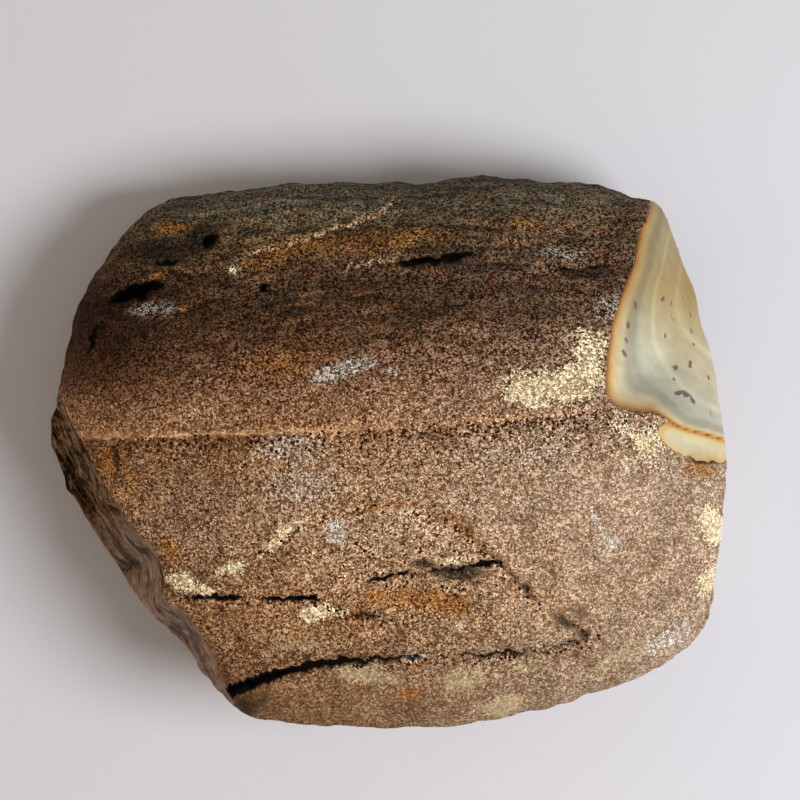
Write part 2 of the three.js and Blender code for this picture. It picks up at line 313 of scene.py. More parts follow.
@dataclass(frozen=True)
class StoneForm:
    """The stone's main forms, with the same driving sizes as the solid."""

    outline: Path = Path(
        knots=(
            (47.9, 41.3), (49.7, 33.3), (52.3, 26), (54.6, 13.3), (55.6, 2.8), (56.6, -5.2),
            (56, -14.3), (53.2, -26), (49.8, -32.2), (44.6, -35.2), (37.9, -38.4), (28.1, -41.8),
            (15, -44.2), (1.7, -45.3), (-11.7, -45.2), (-21, -44.3), (-26.8, -41),
            (-34.6, -33.1), (-41.6, -25.1), (-49.3, -14.3), (-54.7, -5.8), (-57.1, 3.1),
            (-56.6, 9.8), (-54.6, 20), (-50.6, 30.2), (-45, 38.5), (-41.4, 42.6),
            (-34.3, 45), (-24, 45.8), (-7.7, 45.7), (10.2, 46.4), (25.5, 46.2),
            (34, 45.4), (42.5, 43.2),
        ),
        closed=True,
        steps_per_knot=10,
    )
    # The crest: its height at its highest place, its sag to both ends, and its line from above.
    crest_height: float = 43.5
    crest_at_x: float = 8.0
    crest_sag: float = 0.0034
    crest_y: float = 4.2
    crest_lean: float = 0.055
    crest_bow: float = 0.0006
    # The faces on both sides of the crest: a slope, and a fall with the distance squared.
    north_slope: float = 0.1
    north_fall: float = 0.0108
    south_slope: float = 0.09
    south_fall: float = 0.0011
    # The strip along the south edge and the shoulder at the west end.
    strip_from_y: float = -36.5
    strip_drop: float = 4.5
    strip_slope: float = 0.42
    strip_soft: float = 2.5
    shoulder_from_x: float = -38.0
    shoulder_fall: float = 0.02
    # The rim drops over the last share of the radius, and more along the north-west.
    rim_from: float = 0.9
    rim_curve: float = 2.5
    rim_south: float = 2.6
    rim_north: float = 6.0
    rim_lean: float = 0.5
    rim_change: Span = (-10, 30)
    # The side bulges from the rim down to the flat spot, which has this share of the radius.
    flat_share: float = 0.4
    wall: float = 0.82
    floor: float = 0.95
    # The chip and the flank lie on the right of their edges.
    chip_edge: Path = Path(
        knots=(
            (58, 1.6), (52.5, 3.2), (48.3, 4.3), (44.2, 6.5), (41.7, 6.8), (37.5, 7.8),
            (35.7, 9.8), (35.5, 13.2), (36.2, 18.2), (37, 22.3), (38.7, 27.3), (40.3, 31),
            (41, 34), (41.7, 37), (43.3, 40.2), (44.5, 46),
        ),
    )
    chip_slope: float = 1.5
    chip_hollow: float = 0.02
    chip_soft: float = 0.25
    flank_edge: Path = Path(
        knots=(
            (-58.5, 14), (-55.5, 9), (-51.9, 2.5), (-48.9, -2.8), (-45.6, -8), (-42.2, -13.2),
            (-39.4, -15.4), (-37.6, -19), (-37.3, -23.8), (-34.2, -26), (-31.3, -29.6),
            (-29.4, -33.8), (-27.9, -37.4), (-24.5, -43),
        ),
    )
    flank_slope: float = 3.2
    flank_soft: float = 0.7
    flank_foot: float = 12.0
    flank_foot_soft: float = 4.0
    low_scoop: Oval = Oval(51, 2.2, 7.5, 3.1, -14)
    low_scoop_depth: float = 1.7
    # Cracks and pits have a steep lip, and random shifts tear their edges.
    lip: float = 0.4
    raggedness: float = 0.75
    tear_pitch: float = 1.7
    tear_octaves: int = 2
    tear_seeds: Point = (11.0, 47.0)
    ledges: dict[str, Ledge] = field(default_factory=lambda: {
        "crest step": Ledge(5, (0.9, 0.8, 0.5), Path(
            ((-51.5, 2.4), (-30, 3.2), (-15, 3.7), (5, 4.6), (22, 6), (36, 7.6))),
            recess_shade=0.3, crumbly=1.0, pale_lip_and_highlight=0.9),
        "west crack": Ledge(1.8, (
            0.3, 1.0, 1.7, 1.2, 1.5, 1.1, 0.3, 1.0, 1.4, 1.6, 2.2, 1.9), Path(
            ((-35, -23.5), (-30.6, -23.4), (-24.2, -23.4), (-18.8, -23.6), (-12.4, -23.2))),
            recess_shade=1, crumbly=0.9),
        "west crack tail": Ledge(1.4, (1.6, 0.5, 1.1, 0.3, 0.9, 0.6), Path(
            ((-12.4, -23.9), (-9, -25), (-5, -26), (-1, -26.6))), recess_shade=0.8, crumbly=1.0),
        "south crack": Ledge(2.6, (
            4.8, 4.2, 3.4, 2.8, 2.1, 1.6, 1.3, 0.9, 0.8, 0.4, 0.8, 1.0, 0.4, 0.7, 0.5), Path(
            ((-27, -39.1), (-23.7, -37.4), (-19, -35.9), (-15, -34.9), (-11, -34.2),
             (-5, -33.6), (1.7, -33.3), (8.3, -33.1), (15, -32.7), (21.7, -32.3),
             (28.3, -31.3), (33.3, -29.8))), recess_shade=1, crumbly=1.0),
        "lens crack": Ledge(1.3, (0.4, 1.3, 1.1, 0.4, 0.9, 0.8, 1.3, 0.7), Path(
            ((-4.4, -21.1), (-1.7, -20.2), (2.8, -19.2), (5.3, -18.8), (9.6, -18.8),
             (13.8, -18.1), (18.3, -17.5))), recess_shade=1),
        "lens crack sliver": Ledge(1.0, (0.3, 0.9, 0.8, 0.4), Path(
            ((7.2, -20.3), (11.3, -20.5), (17.7, -21.3))), recess_shade=0.9),
        "spalled lens": Ledge(9, (0.2, 0.8, 1.1, 1.3, 0.6), Path(
            ((-20.8, -15.2), (-16.7, -12.2), (-10, -9.7), (-3.3, -8.2), (2.5, -8),
             (6.7, -9.8), (11.7, -11.8), (17.5, -17), (21.7, -21), (25, -24.3),
             (30.3, -27.3), (33.3, -30))), recess_shade=0.3, crumbly=1.0, pale_lip_and_highlight=0.8),
        "north plate": Ledge(7, (0.4, 1, 1.1, 0.6), Path(
            ((-25, 32), (-21.3, 34), (-16.7, 34.7), (-13, 36.3), (-9.2, 37.7),
             (-3.3, 39.3), (1.3, 42.7))), crumbly=0.7, pale_lip_and_highlight=0.6),
        "north slot": Ledge(1.7, (0.6, 3.4, 2.6, 0.4), Path(
            ((0.8, 31.9), (5, 32.4), (7.5, 32.6), (10.8, 33), (14.2, 33.8))), recess_shade=1),
        "terrace lip": Ledge(3, (0.3, 1, 0.8, 0.3), Path(
            ((-8, 31), (-3, 31.6), (1, 32.2))), recess_shade=0.4, crumbly=0.5, pale_lip_and_highlight=0.5),
        "north-east crack": Ledge(1.6, (0.2, 0.5, 1.3, 0.6, 1.4, 0.8, 0.5), Path(
            ((22.5, 29.6), (28.3, 31), (31.7, 30.8), (35, 31.5), (41, 32.3))),
            recess_shade=0.9, crumbly=0.9),
        "west rim crack": Ledge(2, (0.4, 1.2, 0.4), Path(
            ((-51.8, 15.5), (-50.6, 18), (-49.6, 20.4), (-48.6, 22.4))), recess_shade=0.9),
    })
    hollows: dict[str, Hollow] = field(default_factory=lambda: {
        "north-west pit": Hollow(Oval(-42.6, 27.3, 4.2, 1.15, 17), 5.5, 1),
        "corner hole": Hollow(Oval(-30.3, 35.9, 1.3, 1.1, 30), 3, 1),
        "corner hollow": Hollow(Oval(-37.5, 35, 7.6, 3.1, -6), 2.2),
        "corner shelf": Hollow(Oval(-37.7, 32.1, 2.4, 0.35, 6), 1, 0.9),
        "pin hole": Hollow(Oval(-21, 27.8, 0.65, 0.5), 1.6, 1),
        "north valley": Hollow(Oval(-8, 27, 42, 6.5, 3), 1.5),
        "terrace": Hollow(Oval(4, 36, 17, 5, 8), -2),
        "orange hollow": Hollow(Oval(5.5, -24.5, 6.5, 2, -8), 0.6),
        "south face swell": Hollow(Oval(28, -14, 22, 14, -35), -1.3),
        "west dish": Hollow(Oval(-34, -9, 14, 8, -30), 0.8),
        "upper scoop": Hollow(Oval(-41.8, -19.4, 4.6, 1.7, -58), 3),
        "lower scoop": Hollow(Oval(-33.4, -31.2, 5.6, 1.6, -52), 2.6),
    })
    breaks: dict[str, Break] = field(default_factory=lambda: {
        "east": Break(-6, -12, 51.6, pale=0.7),
        "south-east": Break(-58, -20, 46.4, pale=0.25),
        "south": Break(-88, -14, 42.2),
        "south-west foot": Break(-128, -34, 43.5),
        "west foot": Break(172, -38, 49.5),
        "north-west": Break(128, -24, 53.8),
        "north": Break(93, -30, 41.8),
        "north-east foot": Break(38, -26, 55.7, pale=0.8),
    })
    # A break's reach is measured from this height on the stone's middle line.
    break_base: float = 16.0
    break_rim: Span = (-0.1, 0.5)
    # Each swell has a wavelength, a height and a shift; the sides swell more than the top.
    swells: tuple[tuple[float, float, float], ...] = (
        (31, 0.5, 0.4), (17, 0.3, 2.1), (9.5, 0.13, 4.4),
    )
    side_swell: float = 2.2
    # How finely the outline and the table of places along the skin are worked out.
    outline_steps: int = 240
    turn_steps: int = 72
    place_steps: int = 90

    def outline_radii(self) -> np.ndarray:
        """The outline's radius at equal turns, counted from east."""
        line = self.outline.line()
        turns = np.unwrap(np.arctan2(line[:, 1], line[:, 0]))
        radii = np.hypot(line[:, 0], line[:, 1])
        order = np.argsort(turns)
        asked = np.linspace(0, 2 * np.pi, self.outline_steps, endpoint=False)
        return np.interp(asked, turns[order], radii[order], period=2 * np.pi)

    def outline_at(self, turn: np.ndarray) -> np.ndarray:
        """The outline's radius at any turn, in radians."""
        steps = np.linspace(0, 2 * np.pi, self.outline_steps, endpoint=False)
        return np.interp(turn % (2 * np.pi), steps, self.outline_radii(), period=2 * np.pi)

    def crest_line(self, x: np.ndarray) -> np.ndarray:
        """The northing of the crest at each easting."""
        return self.crest_y + self.crest_lean * x + self.crest_bow * x * x

    def face_height(self, x: np.ndarray, y: np.ndarray) -> np.ndarray:
        """Height of the upper side before layers split off it."""
        share = np.hypot(x, y) / self.outline_at(np.arctan2(y, x))
        crest = self.crest_height - self.crest_sag * (x - self.crest_at_x) ** 2
        beyond = y - self.crest_line(x)
        north = crest - self.north_fall * beyond**2 - self.north_slope * beyond
        south = crest - self.south_fall * beyond**2 + self.south_slope * beyond
        strip = crest - self.strip_drop + self.strip_slope * (y - self.strip_from_y)
        z = soft_min(np.where(beyond > 0, north, south), strip, self.strip_soft)
        z = z - self.shoulder_fall * np.maximum(0, self.shoulder_from_x - x) ** 2
        northness = smoothstep(y - self.rim_lean * x, *self.rim_change)
        rim = np.maximum(0, (share - self.rim_from) / (1 - self.rim_from))
        drop = self.rim_south + (self.rim_north - self.rim_south) * northness
        return z - drop * rim**self.rim_curve

    def break_depth(self, x: np.ndarray, y: np.ndarray) -> np.ndarray:
        """How far the chip and the broken flank cut below the faces."""
        in_chip = soft_ramp(self.chip_edge.smoothly_right(x, y), self.chip_soft)
        over_flank = soft_ramp(self.flank_edge.beside(x, y)[0], self.flank_soft)
        room = self.face_height(x, y) - self.flank_foot
        flank = soft_min(self.flank_slope * over_flank, room, self.flank_foot_soft)
        flank = np.maximum(0, flank)
        return self.chip_slope * in_chip - self.chip_hollow * in_chip**2 + flank

    def cut_height(self, x: np.ndarray, y: np.ndarray) -> np.ndarray:
        """Height of the upper side with only the chip and the flank cut."""
        return self.face_height(x, y) - self.break_depth(x, y)

    def ragged(self, x: np.ndarray, y: np.ndarray) -> tuple[np.ndarray, np.ndarray]:
        """Shifts each point a little at random, so that cracks and pits get torn edges."""
        flat = np.stack([x, y, np.zeros_like(x)], -1).reshape(-1, 3)
        east, north = (
            self.raggedness * lumps(flat, self.tear_pitch, self.tear_octaves, seed)
            for seed in self.tear_seeds
        )
        return x + east.reshape(x.shape), y + north.reshape(x.shape)

    def top_height(self, x: np.ndarray, y: np.ndarray) -> np.ndarray:
        """Height of the finished upper side, with ragged cracks, pits and hollows."""
        ragged_x, ragged_y = self.ragged(x, y)
        z = self.cut_height(x, y) - self.low_scoop_depth * self.low_scoop.inside(x, y)
        for ledge in self.ledges.values():
            z = z - ledge.depth(ragged_x, ragged_y, self.lip)
        for hollow in self.hollows.values():
            z = z - hollow.depth * hollow.oval.inside(ragged_x, ragged_y)
        return z

    def swell(self, points: np.ndarray) -> np.ndarray:
        """A low, smooth swell of the surface at each point.

        Uneven shares of the wavelength along each axis keep the waves from lining up.
        """
        x, y, z = points.T
        total = np.zeros(len(points))
        for wave, height, shift in self.swells:
            k = 2 * math.pi / wave
            across = np.sin(k * x + shift + np.sin(k * 0.7 * z + shift))
            total += height * across * np.cos(k * 0.9 * y + 1.7 * shift + np.sin(k * 0.6 * x))
        return total

    def skin(self, turn: np.ndarray, place: np.ndarray, height: Height) -> np.ndarray:
        """Finds points of the skin.

        Args:
            turn: Turns about +Z, in radians.
            place: 0 to 1 over the upper side, to 2 down the side, to 3 across the flat spot.
            height: The upper side's height at (x, y).

        Returns:
            Points in millimetres, along the last axis.
        """
        radius = self.outline_at(turn)
        swing = np.clip(place - 1, 0, 1) * math.pi / 2
        inward = self.flat_share + (1 - self.flat_share) * np.cos(swing) ** self.wall
        on_flat = (3 - place) * self.flat_share
        share = np.where(place <= 1, place, np.where(place >= 2, on_flat, inward))
        top_share = np.minimum(place, 1)
        rim = height(top_share * radius * np.cos(turn), top_share * radius * np.sin(turn))
        z = rim * (1 - np.sin(swing) ** self.floor)
        return np.stack([share * radius * np.cos(turn), share * radius * np.sin(turn), z], -1)

    def place_table(self, shares: int) -> np.ndarray:
        """The place at equal shares of the skin's length, one row for each turn."""
        turns = np.linspace(0, 2 * np.pi, self.turn_steps, endpoint=False)
        places = np.linspace(0, 3, self.place_steps + 1)
        turn, place = np.meshgrid(turns, places, indexing="ij")
        steps = np.diff(self.skin(turn, place, self.cut_height), axis=1)
        lengths = np.cumsum(np.linalg.norm(steps, axis=2), axis=1)
        lengths = np.hstack([np.zeros((len(turns), 1)), lengths])
        asked = np.linspace(0, 1, shares)
        return np.array([np.interp(asked * row[-1], row, places) for row in lengths])

    def trim(self, points: np.ndarray) -> tuple[np.ndarray, np.ndarray]:
        """Trims points of the sides to the flat breaks.

        Args:
            points: Points in millimetres, one a row.

        Returns:
            The trimmed points, and how freshly broken and pale each is.
        """
        trimmed = points.copy()
        fresh = np.zeros(len(points))
        for cut in self.breaks.values():
            facing = cut.facing()
            over = (trimmed - [0, 0, self.break_base]) @ facing - cut.reach
            trimmed -= np.maximum(over, 0)[:, None] * facing
            fresh = np.maximum(fresh, cut.pale * smoothstep(over, *self.break_rim))
        return trimmed, fresh


class Stain(Enum):
    """What colours a patch of the rind."""

    CREAM = "cream"
    CHALK = "chalk"
    PALE = "pale"
    OCHRE = "ochre"
    # Not a stain: dark patches of painted shade where crack walls and hollows lie in shadow.
    SOOT = "soot"


@dataclass(frozen=True)
class StainMap:
    """Where each kind of stain, and the patches of painted shade, lie on the upper side."""

    cream: tuple[Oval, ...] = (
        Oval(22.0, 10.6, 3.6, 3.2, -10, 1.2),
        Oval(28.5, 11.4, 6.5, 3.2, 8, 1.2),
        Oval(33.0, 15.2, 2.6, 4.8, -14, 1.1),
        Oval(31.6, 19.0, 2.6, 3.4, 20, 0.35),
        Oval(43.0, 2.2, 3.4, 2.6, 30, 0.95),
        Oval(38.6, 4.0, 3.6, 1.3, -30, 0.75),
        Oval(53.8, -12.0, 2.2, 3.9, 12, 1.4),
        Oval(53.0, -20.9, 1.7, 3.0, -32, 1.3),
        Oval(-12.5, -26.2, 2.4, 1.7, 20, 1.3),
        Oval(-8.5, -25.8, 2.6, 1.0, -10, 0.8),
        Oval(-18.2, -13.6, 4.4, 0.9, 43, 1.5),
        Oval(-14.6, -11.6, 2.0, 0.8, 20, 1.3),
        Oval(-26.0, -18.8, 3.0, 0.9, 12, 1.0),
        Oval(-34.2, -21.2, 3.4, 1.7, -20, 1.1),
        Oval(-30.4, -22.4, 2.6, 0.9, -8, 0.9),
        Oval(-26.2, 30.7, 1.0, 0.8, 0, 1.1),
        Oval(9.5, -17.4, 3.4, 0.6, 4, 1.2),
        Oval(4.0, -9.2, 2.0, 0.4, 12, 0.9),
    )
    chalk: tuple[Oval, ...] = (
        Oval(-7.0, 14.2, 4.6, 1.4, 17, 1.1),
        Oval(-10.8, 12.8, 2.2, 1.4, 0, 0.8),
        Oval(-8.6, -12.6, 2.0, 2.2, 10, 1.4),
        Oval(-15.8, 1.0, 7.5, 2.8, 4, 0.45),
        Oval(-14.0, -5.0, 8.0, 4.0, 10, 0.35),
        Oval(-39.7, 24.1, 4.4, 1.4, 2, 0.42),
        Oval(4.0, -33.5, 1.8, 1.0, 10, 0.8),
        Oval(33.8, -10.5, 0.5, 2.8, 22, 0.9),
        Oval(36.0, -14.5, 2.6, 1.8, 30, 0.5),
        Oval(46.5, -30.5, 5.0, 2.6, 30, 0.55),
        Oval(0.9, 13.8, 1.1, 0.9, 0, 0.6),
        Oval(37.0, 24.5, 4.5, 2.4, 20, 0.3),
        Oval(28.5, 33.2, 4.5, 1.4, -6, 0.3),
        Oval(42.0, 31.8, 2.2, 2.0, 0, 0.3),
        Oval(9.4, -22.2, 0.2, 0.8, 0, 1.4),
        Oval(12.0, -28.2, 1.2, 0.4, 10, 0.8),
        Oval(20.0, 0.0, 12.0, 2.4, 4, 0.25),
    )
    pale: tuple[Oval, ...] = (
        Oval(-4.9, -36.0, 5.0, 1.8, -6, 1.4),
        Oval(-0.5, -36.8, 3.0, 1.0, -10, 0.9),
        Oval(12.0, -37.0, 4.4, 2.4, 12, 1.1),
        Oval(22.5, -34.6, 4.0, 1.6, 8, 0.8),
        Oval(18.9, -41.8, 3.8, 2.0, 14, 1.4),
        Oval(-15.0, -31.5, 9.0, 1.0, 4, 0.5),
        Oval(0.0, -14.5, 9.0, 2.6, 0, 0.35),
        Oval(38.0, -33.5, 6.5, 2.0, 28, 0.6),
        Oval(-20.0, -29.5, 4.0, 1.2, 0, 0.5),
    )
    ochre: tuple[Oval, ...] = (
        Oval(9.9, -24.5, 3.4, 1.7, -6, 2.2),
        Oval(3.5, -23.8, 7.0, 2.0, -4, 1.0),
        Oval(-2.8, -23.4, 1.4, 1.1, 0, 1.5),
        Oval(-5.8, -26.8, 1.4, 0.8, 0, 1.4),
        Oval(2.9, -39.6, 2.5, 0.9, 4, 1.4),
        Oval(4.2, -34.3, 2.0, 0.9, 0, 1.2),
        Oval(12.0, -12.0, 7.0, 1.6, -38, 0.75),
        Oval(-2.0, -8.4, 9.0, 0.9, 6, 0.8),
        Oval(-36.6, -15.8, 2.5, 1.5, -48, 1.2),
        Oval(-28.6, -36.2, 1.0, 1.6, -20, 1.0),
        Oval(-47.4, -1.2, 1.6, 2.4, 10, 1.0),
        Oval(-36.3, 38.0, 4.2, 0.8, 0, 0.9),
        Oval(-39.2, 29.6, 1.6, 0.8, 10, 0.8),
        Oval(-34.8, 24.4, 0.9, 0.5, 0, 0.9),
        Oval(51.6, -2.4, 3.4, 1.6, -14, 1.0),
        Oval(-2.0, 35.6, 13.0, 2.4, 6, 0.5),
        Oval(-19.0, 33.0, 7.0, 1.8, 20, 0.6),
        Oval(22.0, 38.5, 3.0, 0.9, 0, 0.6),
        Oval(-44.0, -6.0, 8.0, 5.0, -55, 0.45),
        Oval(-18.0, 15.0, 9.0, 3.5, 10, 0.4),
    )
    # Painted shade: dark patches along shaded crack and lens walls, in the north-west hollow and
    # along the foot of the low scoop.
    soot: tuple[Oval, ...] = (
        Oval(11.5, -19.5, 5.0, 1.1, -2, 1.5),
        Oval(5.6, -17.8, 2.6, 0.8, 5, 1.1),
        Oval(19.6, -19.2, 1.6, 0.6, -45, 0.9),
        Oval(23.0, -22.6, 3.6, 0.9, -52, 0.9),
        Oval(28.6, -27.4, 3.4, 1.1, -30, 0.8),
        Oval(32.0, -29.6, 1.6, 0.9, 20, 0.9),
        Oval(52.4, -1.2, 3.8, 0.5, -8, 1.3),
        Oval(-24.0, -42.0, 4.8, 2.2, 20, 0.8),
        Oval(-31.8, 36.2, 3.8, 2.4, 20, 1.2),
        Oval(-38.5, 34.2, 5.5, 2.4, 0, 1.1),
        Oval(-45.5, -0.5, 0.5, 2.8, 8, 1.2),
        Oval(-4.0, -26.4, 3.0, 0.8, -10, 0.8),
        Oval(31.3, -26.0, 2.2, 1.7, -40, 0.6),
        Oval(34.0, 30.0, 7.0, 1.0, 4, 0.8),
        Oval(9.0, 32.0, 6.0, 1.4, 6, 0.8),
    )

    def amount(self, stain: Stain, x: np.ndarray, y: np.ndarray) -> np.ndarray:
        """How strongly a stain lies on each point."""
        total = np.zeros(x.shape)
        for oval in getattr(self, stain.value):
            total = total + oval.amount * oval.inside(x, y)
        return total


@dataclass(frozen=True)
class Grit:
    """One size of random lumps, with its height and its pitch."""

    height: float
    pitch: float
    octaves: int
    seed: float
    stretch: tuple[float, float, float] = (1, 1, 1)

    def lift(self, points: np.ndarray) -> np.ndarray:
        """How far the lumps lift each point."""
        return self.height * lumps(points, self.pitch, self.octaves, self.seed, self.stretch)


@dataclass(frozen=True)
class Weathering:
    """Where the upper side is pitted, rubbed smooth and darkened.

    Each span tells where a zone sets in and where it is full. A northing is counted from the
    crest, and a zone named for the west or the south counts from the stone's middle that way.
    """

    north_face: Span = (-0.6, 0.4)
    by_crest: Span = (-13, -2)
    strip_south: Span = (34, 40)
    lens: Oval = Oval(4, -20, 20, 9, -14)
    row_northing: float = -1.4
    row_width: float = 0.9
    row_end_x: Span = (36, 42)
    pits_all_over: float = 0.32
    pits_by_crest: float = 0.3
    pits_in_row: float = 0.42
    pits_in_lens: float = 0.45
    pits_lost_north: float = 0.5
    pits_lost_on_strip: float = 0.85
    worn_strip: float = 0.3
    worn_corner: float = 0.35
    corner_south_east: Span = (62, 80)
    worn_rim: float = 0.1
    rim_northing: Span = (32, 37)
    worn_east: float = 0.3
    east_x: Span = (0, 40)
    worn_crest: float = 0.7
    crest_west: Span = (-8, 8)
    worn_line_northing: float = 0.3
    worn_line_width: float = 0.4
    dark_west: Span = (22, 50)
    dark_northing: Span = (3, 12)
    lighter_northing: Span = (20, 30)
    lighter: float = 0.6
    south_west: Span = (10, 35)
    dark_south_west: float = 0.5
    north_east_x: Span = (-2, 8)
    north_east_northing: Span = (26, 33)
    dark_north_east: float = 0.25

    def south_of_crest(self, northing: np.ndarray) -> np.ndarray:
        """1 south of the crest and 0 north of it, with a narrow blend."""
        return 1 - smoothstep(northing, *self.north_face)

    def pitted(self, x: np.ndarray, y: np.ndarray, northing: np.ndarray) -> np.ndarray:
        """How thickly pin pits lie: most in the row under the crest and in the lens."""
        south = self.south_of_crest(northing)
        row = np.exp(-((northing - self.row_northing) / self.row_width) ** 2)
        row = row * (1 - smoothstep(x, *self.row_end_x))
        crest = self.pits_by_crest * smoothstep(northing, *self.by_crest) + self.pits_in_row * row
        more = np.maximum(crest * south, self.pits_in_lens * self.lens.inside(x, y))
        kept_north = 1 - self.pits_lost_north * (1 - south)
        kept_on_strip = 1 - self.pits_lost_on_strip * smoothstep(-y, *self.strip_south)
        return (self.pits_all_over + more) * kept_north * kept_on_strip

    def worn(self, x: np.ndarray, y: np.ndarray, northing: np.ndarray) -> np.ndarray:
        """How far the sand is rubbed off."""
        east = smoothstep(x, *self.east_x) * self.south_of_crest(northing)
        crest = np.exp(-((northing - self.worn_line_northing) / self.worn_line_width) ** 2)
        return np.maximum.reduce([
            self.worn_strip * smoothstep(-y, *self.strip_south),
            self.worn_corner * smoothstep(x - y, *self.corner_south_east),
            self.worn_rim * smoothstep(northing, *self.rim_northing),
            self.worn_east * east * (1 - smoothstep(northing, *self.by_crest)),
            self.worn_crest * crest * smoothstep(-x, *self.crest_west),
        ])

    def umber(self, x: np.ndarray, northing: np.ndarray) -> np.ndarray:
        """How strongly the rind is darkened: most in the west of the north face."""
        west = smoothstep(-x, *self.dark_west) * smoothstep(northing, *self.dark_northing)
        west = west * (1 - self.lighter * smoothstep(northing, *self.lighter_northing))
        south_west = smoothstep(-x, *self.south_west) * self.south_of_crest(northing)
        north_east = smoothstep(x, *self.north_east_x)
        north_east = north_east * smoothstep(northing, *self.north_east_northing)
        return west + self.dark_south_west * south_west + self.dark_north_east * north_east


@dataclass(frozen=True)
class BandLayout:
    """How the pale bands lie in the chip, in the low scoop and on the bared sides."""

    neck_y: Span = (14, 30)
    neck_crowding: float = 0.5
    foot_x: Span = (42, 50)
    foot_y: Span = (7, 17)
    foot_shift: float = 2.8
    edge_width: float = 1.4
    scoop_rim: float = 0.5
    scoop_rise: float = 0.5
    scoop_middle: float = 1.5
    scoop_middle_span: Span = (0.35, 0.8)
    scoop_steepness: float = 5.0
    scoop_cut: float = 1.5
    bared_gain: float = 3.0
    bared_cut: float = 1.4
    bared_tear: Grit = Grit(0.9, 7.0, 3, 91.0)
    side_rim: float = 4.0
    side_rise: float = 0.45

    def on_top(
        self, x: np.ndarray, y: np.ndarray, chip: np.ndarray, scoop: np.ndarray
    ) -> tuple[np.ndarray, np.ndarray, np.ndarray]:
        """Lays the bands on the upper side.

        Args:
            x: Eastings.
            y: Northings.
            chip: How far inside the chip's edge each point is.
            scoop: How far inside the low scoop each point is, from 0 to 1.

        Returns:
            How far inside the fresh stone each point is, its place in the bands, and how near
            it is to the chip's narrow neck.
        """
        neck = smoothstep(y, *self.neck_y)
        foot = smoothstep(x, *self.foot_x) * (1 - smoothstep(y, *self.foot_y))
        off_edge = smoothstep(np.abs(chip), 0, self.edge_width)
        in_chip = chip * (1 + self.neck_crowding * neck) + self.foot_shift * foot * off_edge
        rise = self.scoop_rise + self.scoop_middle * smoothstep(scoop, *self.scoop_middle_span)
        band = np.where(chip > 0, in_chip, self.scoop_rim + off_edge * rise)
        broken = np.maximum(chip, self.scoop_steepness * scoop - self.scoop_cut)
        return broken, band, neck

    def on_sides(self, points: np.ndarray, fresh: np.ndarray) -> tuple[np.ndarray, np.ndarray]:
        """Lays the bands on the sides, round patches with torn rims.

        Args:
            points: Points in millimetres, one a row.
            fresh: How freshly broken each is.

        Returns:
            How far inside the fresh stone each point is, and its place in the bands.
        """
        bared = self.bared_gain * fresh - self.bared_cut + self.bared_tear.lift(points)
        rim = self.side_rim * np.maximum(bared, 0)
        return bared, np.minimum(rim, self.side_rim + self.side_rise * points[:, 2])


